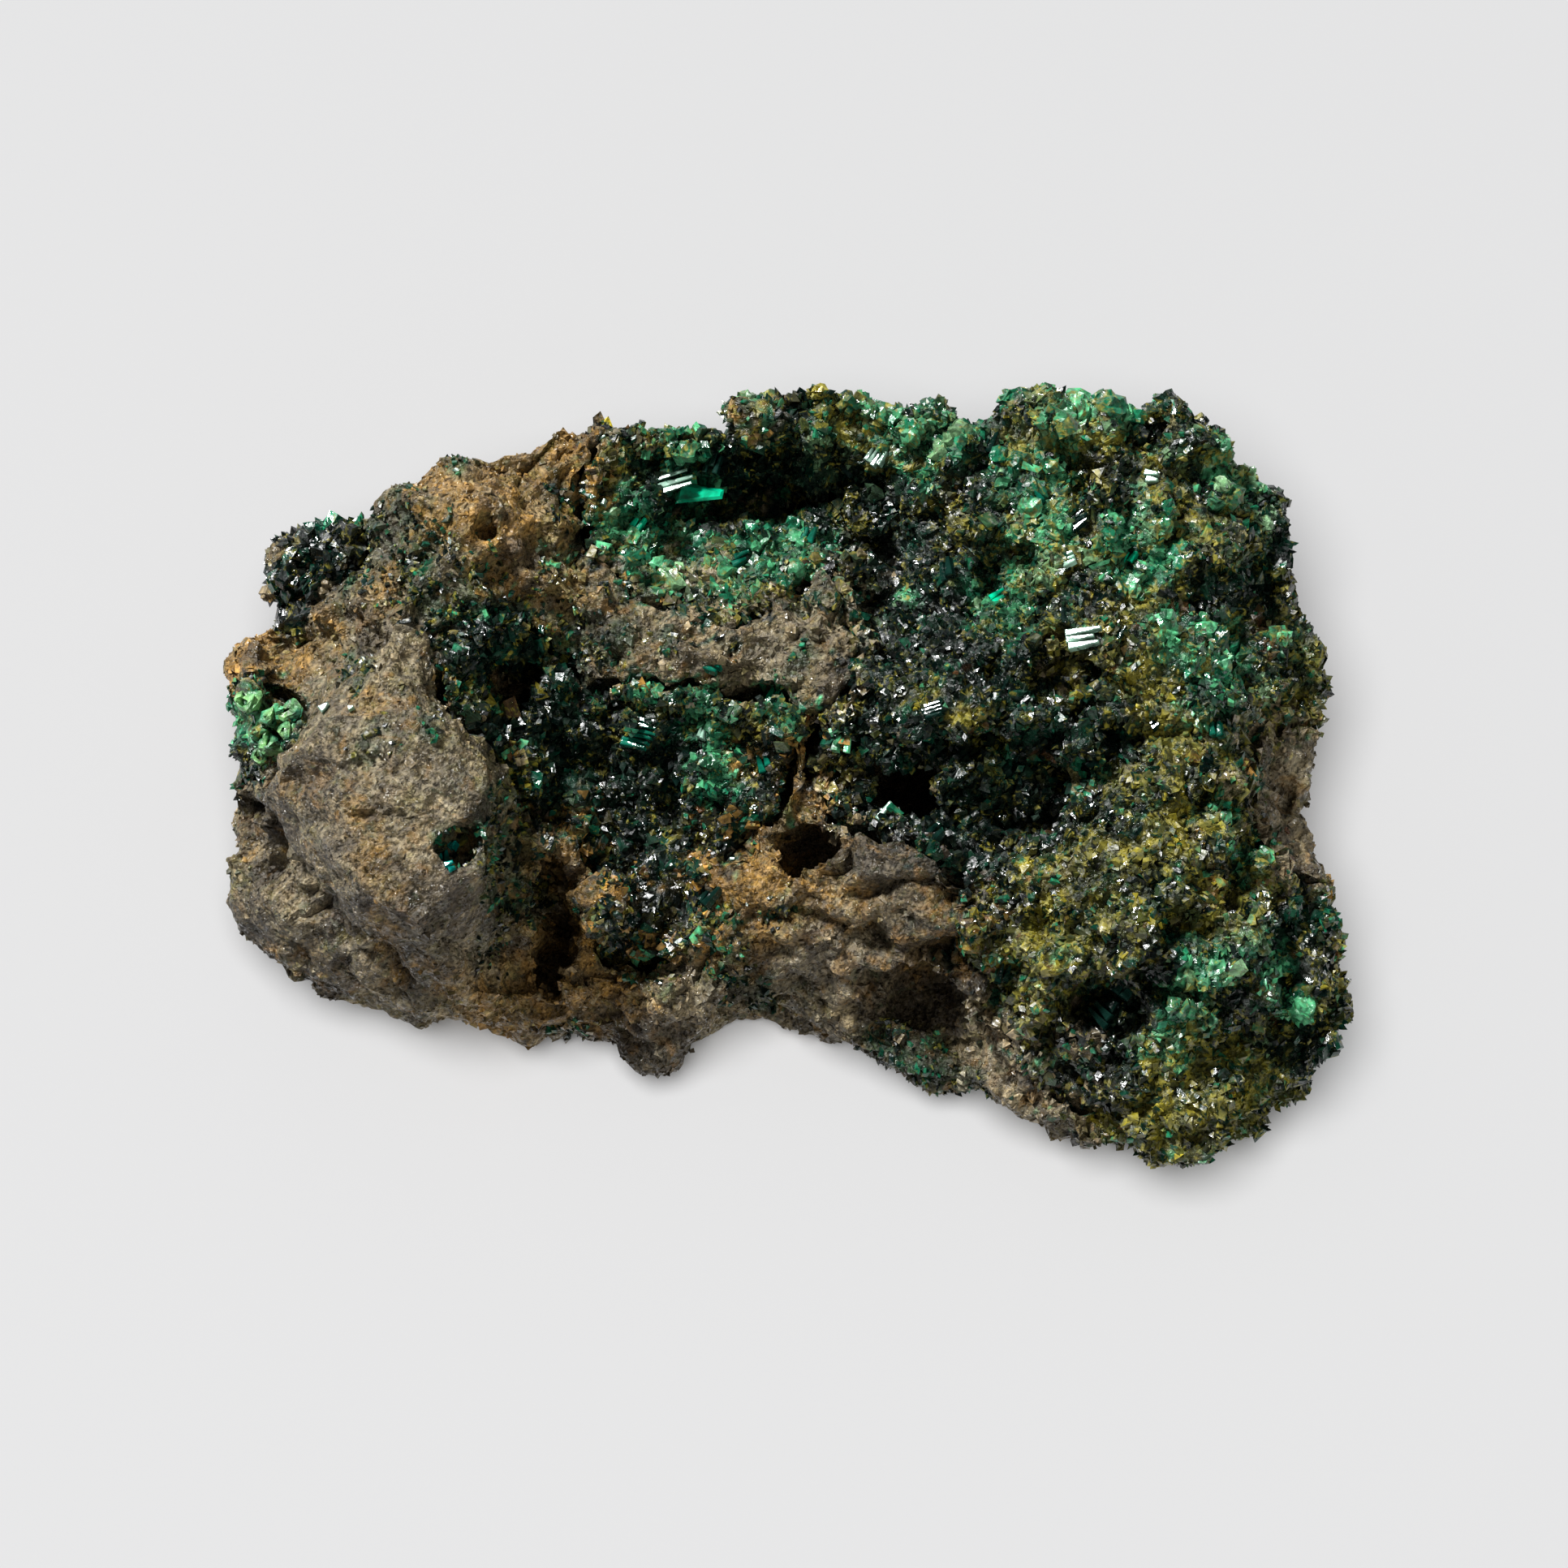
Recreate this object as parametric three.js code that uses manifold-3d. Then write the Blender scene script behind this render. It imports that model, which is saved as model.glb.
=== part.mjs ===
// A brochantite specimen: a lump of brown gossan rock with crusts of green brochantite crystals.
// It lies on a flat base. Millimetres, +Z up, +X along its length, the origin under its middle.
import * as THREE from "three";
import { ConvexGeometry } from "three/addons/geometries/ConvexGeometry.js";
import { ImprovedNoise } from "three/addons/math/ImprovedNoise.js";
import { mergeVertices } from "three/addons/utils/BufferGeometryUtils.js";
import Module from "manifold-3d";

const wasm = await Module();
wasm.setup();

// Driving dimensions
const ROCK_DETAIL = 8; // subdivisions of the ball that the rock is shaped from
const BED_DETAIL = 4; // the same for the coarser bed under the crystals
const MORE_ON_TOP = 0.38; // how far the ball's facets crowd towards the top
const SHOULDER = 3.6; // how square the rock's shoulders are: 2 is a dome
const BELLY = 3; // how square it is below its widest line
const BESIDE_RIM = 0.85; // the share of the way to its rim where a bed may not be lower than that rim
const BASE_CUT = 1.2; // cut away from under the rock, to leave a flat base
const HEART = new THREE.Vector3(0, 0, 8); // the point that the roughness pushes away from
const CRUST = 2.1; // depth of the crystal crust
const GAP = 0.3; // between the crust and its bed
const BIG_LUMPS = { across: 6.5, high: 0.8 };
const SMALL_LUMPS = { across: 2.6, high: 0.55 };
const EGG_LUMPS = { turns: 1.9, share: 0.45 }; // the unevenness of the eggs that lumps and caves are
const TALLER_THAN_ROCK = 60;
const COARSE = { spacing: 5.6, length: 3, width: 2.2, sink: 1.1 }; // how the big crystals stand
const FINE = { spacing: 3.6, length: 2.3, width: 1.7, sink: 0.8 }; // and the small ones
const FLATNESS = 0.62; // a crystal's thickness in its width
const POINT = 0.8; // the height of its point in its width
const LEAN = 0.55; // how far crystals lean away from upright: 1 is 45 degrees

// The rock's widest line as [x, y, z], anticlockwise from its left end
const RIM = [
  [-32.5, 7, 12], [-32, 6, 12], [-31, 5, 12], [-31, 3.5, 12], [-31.5, 1.5, 12], [-31.5, 0.5, 11],
  [-31, -1, 10], [-31, -2, 9], [-31.5, -3, 8], [-32, -4.5, 6], [-32.5, -5.5, 6], [-31.5, -7, 5],
  [-30, -7.5, 5], [-27, -9.5, 5], [-25, -10.5, 5], [-22, -12, 5], [-21, -12.5, 5], [-18.5, -13, 5],
  [-17, -12.3, 5], [-16, -12, 5], [-13.5, -12.8, 5], [-9.5, -13.5, 5], [-8, -14.2, 4], [-7, -14.5, 4],
  [-5, -13.5, 4], [-2.5, -11.5, 5], [-1.5, -11, 5], [1.5, -12, 5], [4, -13.5, 5], [6, -14.5, 5],
  [8.5, -15.5, 5], [12, -16.5, 5], [15, -18, 5], [18.5, -19, 5], [21, -20, 5], [22.5, -21, 5],
  [24.5, -20.5, 5], [26.5, -19, 6], [28.5, -18, 7], [30.5, -16, 7], [31, -14, 8], [32, -12.5, 8],
  [32.5, -10.5, 9], [32, -7.5, 9], [31, -6, 9], [29.5, -5.5, 9], [30, -4.5, 9], [30.5, -3.5, 9],
  [30, -1.5, 9], [30.5, 0, 10], [31, 1.5, 10], [31, 3.5, 10], [31, 7, 10], [31.5, 8.5, 11],
  [31, 10.5, 11], [30, 12, 11], [29.5, 13.5, 11], [29.5, 15, 12], [29, 16.5, 12], [28, 17.5, 13],
  [27.5, 18.5, 14], [26.5, 20, 14], [25.5, 20, 15], [24.5, 20.5, 16], [23.5, 21, 16], [22, 20.5, 16],
  [21, 20, 16], [20.5, 20.5, 17], [19, 20, 18], [16, 21.5, 19], [14.5, 21.5, 19], [13.5, 21, 18],
  [11, 20.5, 18], [8.5, 20.5, 18], [6.5, 21, 18], [4.5, 21.5, 18], [3, 22, 18], [0, 21.5, 18],
  [-1, 22, 17], [-2.5, 21.5, 17], [-3, 20, 17], [-6.5, 20.5, 16], [-9, 20, 17], [-11.5, 20.5, 18],
  [-13, 19.5, 18], [-15, 18, 18], [-17, 17, 18], [-20.5, 17, 19], [-21.5, 16, 19], [-23, 15, 18],
  [-24.5, 14.2, 16], [-26.5, 12.5, 13], [-29, 10.5, 12], [-31, 8.5, 12],
];

// Spot heights on the rock's top as [x, y, z], by the form that they shape
const HEIGHTS = {
  boulder: [
    [-28, -2.5, 20], [-29.5, -2, 16], [-25, -0.5, 23.5], [-21, 0, 23], [-17, -2, 21.5], [-15, -3, 19.5],
    [-24.5, -5.5, 23.5], [-21, -7, 22.5], [-17, -7.5, 20.5], [-20, -10.5, 20.5], [-17.5, -11.5, 18.5],
    [-22.5, -10.5, 19], [-26.5, -6, 18.5], [-29, -4, 15], [-25.5, -9, 15], [-16, -8.5, 17],
  ],
  lowerLeftLump: [[-31, -4, 9.5], [-31, -6, 9], [-29.5, -6, 11], [-29.5, -7.5, 9], [-26.5, -9, 9.5]],
  crevice: [[-13.5, -2.5, 9], [-13.5, -6, 6.5], [-14, -9, 6], [-15, -11, 6.5]],
  leftShoulder: [
    [-30.5, 7.5, 13.5], [-29, 4, 15], [-30, 2.5, 14], [-26.5, 5.5, 15], [-25.5, 8, 18], [-24, 2.5, 22],
    [-28.5, 9, 14],
  ],
  leftRidge: [
    [-26.5, 11.5, 17], [-24, 13.5, 19], [-21, 14.5, 21], [-17.5, 15, 21], [-19, 11.5, 22.5],
    [-22, 7.5, 22.5], [-15.5, 12.5, 21], [-22.5, 4.5, 22.5], [-17, 9.5, 20], [-20, 6, 19.5], [-15, 9, 18.5],
  ],
  backSaddle: [[-13.5, 18, 19], [-10.5, 19, 18.5], [-12.5, 15, 18.5], [-9.5, 17, 16], [-12.5, 11.5, 17.5]],
  tanBridge: [
    [-11.5, 8.5, 17], [-8.5, 7, 17], [-5.5, 6.5, 17.5], [-1.5, 6.5, 17.5], [1.5, 7.5, 17.5], [3, 10.5, 17],
    [-2, 9, 16.5], [-6, 10, 15.5],
  ],
  trough: [
    [-9, 14, 15], [-6.5, 14, 14], [-3, 13, 14], [-0.5, 14.5, 13], [-8, 17.5, 12.5], [-4, 17.5, 11],
    [0.5, 17.5, 12], [3.5, 16, 12.5],
  ],
  backCrest: [
    [-6.5, 19, 17], [-3, 19, 17], [-1, 20, 19], [3, 20.5, 19], [6.5, 20, 18.5], [10, 19, 19],
    [14.5, 20, 20.5], [18.5, 19, 19.5], [23, 19.5, 18], [26.5, 17.5, 16.5], [20.5, 18, 18.5],
  ],
  upperRight: [
    [6.5, 17, 16], [10, 16, 18], [13.5, 16.5, 19.5], [15.5, 13, 20], [11, 12, 18], [20.5, 11.5, 20],
    [24, 13.5, 18.5], [18, 10, 19], [27, 12, 16], [23, 8, 18.5], [28, 8.5, 14],
  ],
  darkBand: [[5.5, 13.5, 13.5], [7, 10.5, 14.5], [4.5, 6.5, 17], [10, 8.5, 17.5]],
  shelf: [
    [7, 4.5, 19.5], [11, 5, 20], [14, 4, 19.5], [6.5, 1.5, 18.5], [10, 0.5, 18.5], [13.5, 1, 18.5],
    [17, 0.5, 18.5], [17, 4, 18],
  ],
  rightSlope: [
    [17.5, 6, 21], [21, 4.5, 20.5], [25, 3.5, 18.5], [21.5, 0, 19], [19.5, -2.5, 17.5], [25, -1.5, 17.5],
    [29, 3, 12], [28.5, -1.5, 12], [22.5, -6.5, 18],
  ],
  belowCavity: [
    [4.5, -1, 12.5], [7.5, -1.5, 13], [12, -2.5, 13.5], [15, -2, 15], [17, -5, 16], [1.5, -2, 13],
    [-0.5, -2.5, 13.5], [4.5, -5, 15.5], [8.5, -7, 16], [12.5, -7, 15.5], [3, -7.5, 13.5], [-0.5, -7, 13],
  ],
  lowerRight: [
    [15.5, -9.5, 17.5], [20, -10, 17.5], [24, -11, 17.5], [27.5, -9, 15], [13.5, -11, 15.5], [17, -12.5, 14],
    [20.5, -14, 14.5], [25, -14.5, 15], [28, -13.5, 12.5], [30.5, -10.5, 11.5], [17, -16, 10.5],
    [21, -17, 12],
    [25, -17.5, 11], [22, -19.5, 8], [13.5, -14, 11],
  ],
  frontHollow: [
    [7.5, -10, 11], [9, -12, 7], [6, -12, 7], [12, -14.5, 7], [1.5, -11, 10.5], [-0.5, -10.5, 10.5],
    [-1.5, -8.5, 12], [4.5, -9.5, 12.5],
  ],
  centralValley: [
    [-15, 6, 14], [-12.5, 5, 13.5], [-11.5, 2.5, 12], [-15, 2.5, 15], [-8.5, 3.5, 15], [-5, 3, 15.5],
    [-1.5, 2.5, 15], [-6.5, 0.5, 13], [-10.5, 0, 10.5], [-8, -2.5, 10], [-4, -2, 12], [-11.5, -2.5, 9.5],
    [-7, -6, 10], [-4.5, -8.5, 11], [-8.5, -8.5, 8.5],
  ],
  nodules: [[-13, -4, 11], [-10.5, -7, 12.5], [-11, -8, 10.5]],
  frontLumps: [
    [-14, -12, 7], [-12.5, -11.5, 9], [-8.5, -12.5, 10], [-5, -12, 10], [-10.5, -12.5, 6], [-7, -13.5, 5.5],
    [-3, -11.5, 9],
  ],
};

// The boulder's corners: a flat top, steep sides and a long striated slope to the left
const BOULDER = [
  [-28.6, -2.4, 19.6], [-25.6, 0.4, 23.2], [-20.2, 1, 23.2], [-16.6, -1.8, 21.6], [-16.6, -7.6, 20.8],
  [-20.2, -10.9, 20.6], [-23.4, -9.4, 21.4], [-30.6, -2.6, 12], [-28.6, -6.4, 10], [-24.6, -11, 8],
  [-18.6, -12.9, 7], [-15.9, -11.6, 8], [-15.2, -6, 10], [-15.4, -1.4, 12], [-21, 3, 13], [-28, 2, 13],
];

// Lumps that stand out from the rock: centre, half sizes, and lean about X and Z in degrees
const LUMPS = {
  farLeft: { at: [-30.3, 6.9, 12.4], size: [2.4, 2.2, 2.4], lean: [0, 0] },
  lowerLeft: { at: [-28.7, -5.8, 7], size: [4, 3.2, 4], lean: [0, -30] },
  backLeftFan: { at: [-27.3, 12.8, 12.8], size: [2.9, 3, 3.3], lean: [0, 0] },
  leftEdge: { at: [-29.6, 2.9, 14.2], size: [1.8, 2.6, 1.8], lean: [0, 0] },
  crestKnob: { at: [-1.4, 20.3, 17.4], size: [1.8, 1.6, 1.8], lean: [0, 0] },
  crestJade: { at: [14.8, 20.1, 18.6], size: [3, 1.7, 2.2], lean: [0, -6] },
  crestEnd: { at: [23.4, 19.2, 16], size: [2.6, 2.1, 2.5], lean: [0, 0] },
  shelfLip: { at: [9.8, 2.4, 18.6], size: [5.2, 2.6, 1.6], lean: [-6, 4] },
  upperNodule: { at: [-12.9, -3.7, 10], size: [1.8, 1.6, 1.8], lean: [0, 0] },
  lowerNodule: { at: [-10.6, -7, 10.8], size: [1.8, 1.6, 2], lean: [0, 0] },
  greyLedge: { at: [7.4, -5.4, 14.4], size: [4.2, 2, 1.7], lean: [-8, -12] },
  frontLeftLump: { at: [-12.8, -11, 7], size: [3, 1.9, 2.4], lean: [0, 0] },
  frontMiddleLump: { at: [-5.6, -11.4, 8], size: [3.4, 1.9, 2.4], lean: [0, 6] },
  frontBlock: { at: [-7.2, -13.3, 3.6], size: [2.3, 1.7, 2], lean: [0, 10] },
  rightKnob: { at: [29.8, -10, 8], size: [3, 3.5, 4], lean: [0, 0] },
  lowerRightEnd: { at: [23, -18.4, 7], size: [3.6, 2.6, 3.4], lean: [0, 20] },
};

// Holes and caves in the rock, in the same terms
const CAVES = {
  underShelf: { at: [9, 0.8, 12.6], size: [5.8, 3.3, 3.9], lean: [10, 0] },
  shelfSlit: { at: [16, 4.4, 18.5], size: [1.9, 1.1, 2], lean: [0, 20] },
  roundHole: { at: [1.2, -4.6, 11.5], size: [1.5, 1.4, 4.5], lean: [-12, 0] },
  boulderCrevice: { at: [-13.6, -7, 9], size: [1.3, 5.4, 4.6], lean: [0, 6] },
  boulderPocket: { at: [-18, -6.3, 20.4], size: [1.6, 1.3, 1.9], lean: [0, 30] },
  ridgePit: { at: [-17, 12.4, 21.5], size: [0.8, 0.8, 1.6], lean: [0, 0] },
  troughSlit: { at: [-2.5, 17.3, 12.2], size: [7, 1.3, 2.2], lean: [0, -2] },
  valleyHead: { at: [-15.3, 5.8, 13.5], size: [2.2, 1.7, 2], lean: [0, 0] },
  frontCave: { at: [8.2, -11.8, 8.6], size: [3.3, 2.5, 3], lean: [0, -15] },
  lowerFissure: { at: [18.5, -14, 13.2], size: [3.6, 1, 2.2], lean: [0, -20] },
};

// Where each crust of crystals grows, seen from above as [x, y], and the lowest that it reaches
const MAIN_DRUSE = [
  {
    low: 8,
    outline: [
      [-11, 18.5], [-8, 21], [1.5, 23.5], [15.5, 24], [26, 23], [31.5, 18.5], [34.5, 11.5], [34.5, 4],
      [29.5, 4.5], [27, 2.5], [26.5, -2.5], [28, -6], [30, -5.5], [35, -6], [36, -14], [31.5, -20.5],
      [25, -25], [20.5, -22.5], [19, -19], [15.5, -17], [13, -13.5], [10.5, -10], [11, -7], [7, -4],
      [3.5, -2.5], [1.5, 0.5], [2.5, 2.5], [4.5, 4.5], [4, 9.5], [2, 12.5], [-0.5, 10], [-3, 8],
      [-7, 9.5], [-10.5, 12], [-11.5, 15.5],
    ],
  },
  {
    low: 3.5,
    outline: [
      [28, -6], [30, -5.5], [35, -6], [36, -14], [31.5, -20.5], [25, -25], [20.5, -22.5], [19, -19],
      [15.5, -17], [13, -13.5], [20, -9],
    ],
  },
];
const BACK_SPRAY = [
  { low: 8.5, outline: [[-28, 8.8], [-33, 12], [-31, 18.5], [-25, 18.5], [-23.8, 15], [-25, 12.4]] },
];
const EDGE_ROSETTES = [
  { low: 10, outline: [[-34, 5.2], [-29.5, 5], [-27.6, 3.6], [-28, 1], [-29.5, 0.2], [-34, 0.5]] },
];
const CENTRAL_DRUSE = [
  {
    low: 3.5,
    outline: [
      [-20, 6.5], [-17, 8.5], [-13.5, 7], [-11.5, 5], [-8, 4.5], [-4, 4], [-0.5, 4], [0.5, 3], [0, 0],
      [-0.5, -2], [-3, -3.5], [-5, -6], [-4.5, -8.5], [-8, -9.5], [-10.5, -9], [-9.5, -6], [-11.5, -3.5],
      [-13, -1.5], [-14.5, -1.5], [-15, 0], [-18.5, 2.5],
    ],
  },
];

const UP = new THREE.Vector3(0, 0, 1);
const DOWN = new THREE.Vector3(0, 0, -1);
const noise = new ImprovedNoise();

// A geometry whose faces share their corners
function merged(geometry) {
  const bare = new THREE.BufferGeometry().setAttribute("position", geometry.attributes.position);
  if (geometry.index) bare.setIndex(geometry.index);
  return mergeVertices(bare, 1e-4);
}

// A closed geometry as a manifold-3d solid, and back
function solid(geometry) {
  const joined = merged(geometry);
  const corners = [...joined.index.array];
  const faces = [];
  for (let i = 0; i < corners.length; i += 3) {
    const [a, b, c] = corners.slice(i, i + 3);
    if (a !== b && b !== c && c !== a) faces.push(a, b, c);
  }
  return new wasm.Manifold(
    new wasm.Mesh({
      numProp: 3,
      vertProperties: joined.attributes.position.array,
      triVerts: new Uint32Array(faces),
    }),
  );
}

function geometryOf(made) {
  const mesh = made.getMesh();
  const geometry = new THREE.BufferGeometry();
  geometry.setAttribute("position", new THREE.BufferAttribute(mesh.vertProperties, 3));
  geometry.setIndex([...mesh.triVerts]);
  geometry.computeVertexNormals();
  return geometry;
}

// The largest connected piece of a solid
function largest(made) {
  return made.decompose().reduce((a, b) => (a.volume() > b.volume() ? a : b));
}

// A smooth surface through all the spot heights: a sum of cones, whose weights solve a linear system
function surfaceThrough(spots) {
  const count = spots.length;
  const rows = spots.map(([x, y, z]) => [...spots.map(([u, v]) => Math.hypot(x - u, y - v)), 1, z]);
  rows.push([...spots.map(() => 1), 0, 0]);
  for (let i = 0; i <= count; i++) {
    let best = i;
    for (let k = i; k <= count; k++) if (Math.abs(rows[k][i]) > Math.abs(rows[best][i])) best = k;
    [rows[i], rows[best]] = [rows[best], rows[i]];
    for (let k = 0; k <= count; k++) {
      if (k === i) continue;
      const share = rows[k][i] / rows[i][i];
      for (let j = i; j <= count + 1; j++) rows[k][j] -= share * rows[i][j];
    }
  }
  const weights = rows.map((row, i) => row[count + 1] / row[i]);
  const cone = (x, y, i) => weights[i] * Math.hypot(x - spots[i][0], y - spots[i][1]);
  return (x, y) => spots.reduce((sum, spot, i) => sum + cone(x, y, i), weights[count]);
}

const topHeight = surfaceThrough(Object.values(HEIGHTS).flat());

// The top of the bed at a depth: it keeps that depth to the sides too, so that it has no thin crests
function bedHeight(x, y, depth) {
  const around = [0, 1, 2, 3, 4, 5, 6, 7].map((k) => (k * Math.PI) / 4);
  const beside = around.map((a) => topHeight(x + depth * Math.cos(a), y + depth * Math.sin(a)));
  return Math.min(topHeight(x, y), ...beside) - depth;
}

// The rim's distance and height in a direction seen from above
function rimTowards(direction) {
  const turn = (angle) => (angle + 4 * Math.PI) % (2 * Math.PI);
  for (let i = 0; i < RIM.length; i++) {
    const [ax, ay, az] = RIM[i];
    const [bx, by, bz] = RIM[(i + 1) % RIM.length];
    const start = Math.atan2(ay, ax);
    const span = turn(Math.atan2(by, bx) - start);
    const part = turn(direction - start);
    if (part > span || span > Math.PI) continue;
    const cross = ax * by - ay * bx;
    const reach = cross / (Math.cos(direction) * (by - ay) - Math.sin(direction) * (bx - ax));
    const share = part / Math.max(span, 1e-9);
    return [reach, az + share * (bz - az)];
  }
  throw new Error("the rim has to run once round the origin");
}

// Rough lumps, pushed out from the rock's heart
function roughness(p, { across, high }) {
  const lump = noise.noise(p.x / across, p.y / across, p.z / across);
  const ridge = 1 - 2 * Math.abs(noise.noise(p.y / across + 7, p.z / across, p.x / across));
  return high * (0.9 * lump + 0.5 * ridge);
}

// The rock as a ball moved onto its rim, its spot heights and its flat underside, or the bed inside it
function rock(detail, depth = 0) {
  const isBed = depth > 0;
  const top = (x, y) => (isBed ? bedHeight(x, y, depth) : topHeight(x, y));
  const ball = merged(new THREE.IcosahedronGeometry(1, detail));
  const place = ball.attributes.position;
  const p = new THREE.Vector3();
  for (let i = 0; i < place.count; i++) {
    p.fromBufferAttribute(place, i).normalize();
    const up = (p.z + MORE_ON_TOP) / (1 + MORE_ON_TOP * p.z);
    const across = Math.sqrt(Math.max(0, 1 - up * up));
    const direction = Math.atan2(p.y, p.x);
    const [cos, sin] = [Math.cos(direction), Math.sin(direction)];
    const [rimReach, rimLevel] = rimTowards(direction);
    const reach = rimReach - depth;
    const besideRim = top(BESIDE_RIM * reach * cos, BESIDE_RIM * reach * sin);
    const rimHeight = isBed ? Math.min(rimLevel, besideRim) : rimLevel;
    const square = up > 0 ? SHOULDER : BELLY;
    const share = Math.pow(1 - Math.pow(across, square), 1 / square);
    const x = reach * across * cos;
    const y = reach * across * sin;
    const limit = up > 0 ? top(x, y) : depth - BASE_CUT;
    p.set(x, y, rimHeight + (limit - rimHeight) * share);
    const out = p.clone().sub(HEART).normalize();
    const rough = roughness(p, BIG_LUMPS) + (isBed ? 0 : roughness(p, SMALL_LUMPS));
    p.addScaledVector(out, rough);
    place.setXYZ(i, p.x, p.y, p.z);
  }
  return ball;
}

// The same surface, moved inwards everywhere by a depth
function sunken(geometry, depth) {
  const moved = geometry.clone();
  moved.computeVertexNormals();
  const place = moved.attributes.position;
  const facing = moved.attributes.normal;
  for (let i = 0; i < place.count; i++) {
    const to = new THREE.Vector3().fromBufferAttribute(place, i);
    to.addScaledVector(new THREE.Vector3().fromBufferAttribute(facing, i), -depth);
    place.setXYZ(i, to.x, to.y, to.z);
  }
  return moved;
}

// A rough egg-shaped solid, for a lump or a cave: the big ones have more facets
function egg({ at, size, lean }) {
  const [leanX, leanZ] = lean.map(THREE.MathUtils.degToRad);
  const made = new THREE.IcosahedronGeometry(1, Math.max(...size) > 4 ? 2 : 1);
  const place = made.attributes.position;
  const p = new THREE.Vector3();
  for (let i = 0; i < place.count; i++) {
    p.fromBufferAttribute(place, i);
    const q = p.clone().multiplyScalar(EGG_LUMPS.turns).add(new THREE.Vector3(...at));
    p.multiplyScalar(1 + EGG_LUMPS.share * noise.noise(q.x, q.y, q.z));
    place.setXYZ(i, p.x, p.y, p.z);
  }
  return solid(made.scale(...size).rotateX(leanX).rotateZ(leanZ).translate(...at));
}

const eggs = (all) => wasm.Manifold.union(Object.values(all).map(egg));

// The space over an outline, from its wavering lowest level upwards
function over({ outline, low }, wider = 0) {
  const shape = new THREE.Shape(outline.map(([x, y]) => new THREE.Vector2(x, y)));
  const prism = new THREE.ExtrudeGeometry(shape, {
    depth: TALLER_THAN_ROCK,
    bevelEnabled: wider > 0,
    bevelThickness: wider,
    bevelSize: 0,
    bevelOffset: wider,
    bevelSegments: 1,
  });
  const place = prism.attributes.position;
  for (let i = 0; i < place.count; i++) {
    const isTop = place.getZ(i) > TALLER_THAN_ROCK / 2;
    const direction = Math.atan2(place.getY(i), place.getX(i));
    const wave = 1.4 * Math.sin(4 * direction) + 0.6 * Math.sin(9 * direction + 1);
    if (!isTop) place.setZ(i, place.getZ(i) + wave);
  }
  return solid(prism.translate(0, 0, low));
}

// One brochantite crystal: a bladed prism with four sides and a point
function crystal(length, width) {
  const half = width / 2;
  const profile = [[0, 0], [half, 0], [half, length - POINT * width], [0, length]];
  const prism = new THREE.LatheGeometry(profile.map(([r, h]) => new THREE.Vector2(r, h)), 4);
  return prism.rotateX(Math.PI / 2).scale(1, FLATNESS, 1);
}

function isInside([x, y], outline) {
  return outline.reduce((inside, [ax, ay], i) => {
    const [bx, by] = outline[(i + 1) % outline.length];
    const crosses = ay > y !== by > y && x < ax + ((y - ay) / (by - ay)) * (bx - ax);
    return crosses ? !inside : inside;
  }, false);
}

// A row of evenly scattered places in a square of side 1, stepped by the powers of the plastic ratio
const PLASTIC = 1.32471795724;
const scattered = (i) => [(i / PLASTIC) % 1, (i / PLASTIC ** 2) % 1];

// Crystals that stand on the rock's skin inside an outline
function crystalsOn(skin, { outline, low }, { spacing, length, width, sink }) {
  const xs = outline.map(([x]) => x);
  const ys = outline.map(([, y]) => y);
  const [left, front] = [Math.min(...xs), Math.min(...ys)];
  const [wide, deep] = [Math.max(...xs) - left, Math.max(...ys) - front];
  const caster = new THREE.Raycaster();
  const found = [];
  for (let i = 1; i < (wide * deep) / spacing ** 2; i++) {
    const [u, v] = scattered(i);
    const [x, y] = [left + u * wide, front + v * deep];
    if (!isInside([x, y], outline)) continue;
    caster.set(new THREE.Vector3(x, y, TALLER_THAN_ROCK), DOWN);
    const hit = caster.intersectObject(skin)[0];
    if (!hit || hit.point.z < low + sink) continue;
    const wobble = new THREE.Vector3(Math.sin(i * 2.4), Math.cos(i * 1.7), 0);
    const way = hit.face.normal.clone().addScaledVector(wobble, LEAN).normalize();
    const size = 0.7 + 0.6 * v;
    const made = crystal(length * size, width * size).rotateZ(i).translate(0, 0, -sink);
    made.applyQuaternion(new THREE.Quaternion().setFromUnitVectors(UP, way));
    found.push(solid(made.translate(...hit.point.toArray())));
  }
  return found;
}

const boulder = solid(new ConvexGeometry(BOULDER.map((corner) => new THREE.Vector3(...corner))));
const whole = solid(rock(ROCK_DETAIL)).add(eggs(LUMPS)).add(boulder);
const ground = new THREE.BoxGeometry(100, 100, 20).translate(0, 0, -10);
const caves = eggs(CAVES);
const body = whole.subtract(solid(ground)).subtract(caves);
const bodySkin = new THREE.Mesh(geometryOf(body));
const bed = rock(BED_DETAIL, CRUST);
const bedUnderCrust = solid(bed);
const bedUnderGap = solid(sunken(bed, GAP));

// A crust: the skin of the rock inside its regions, with the crystals grown on it
function druse(regions, crystalStyle) {
  const crystals = regions.flatMap((region) => crystalsOn(bodySkin, region, crystalStyle));
  const reach = wasm.Manifold.union(regions.map((region) => over(region)));
  const grown = wasm.Manifold.union([body, ...crystals]).intersect(reach);
  return largest(grown.subtract(bedUnderCrust).subtract(caves));
}

// The hollow that the rock leaves for a crust
function socket(regions) {
  const reach = wasm.Manifold.union(regions.map((region) => over(region, GAP)));
  return reach.subtract(bedUnderGap);
}

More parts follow.
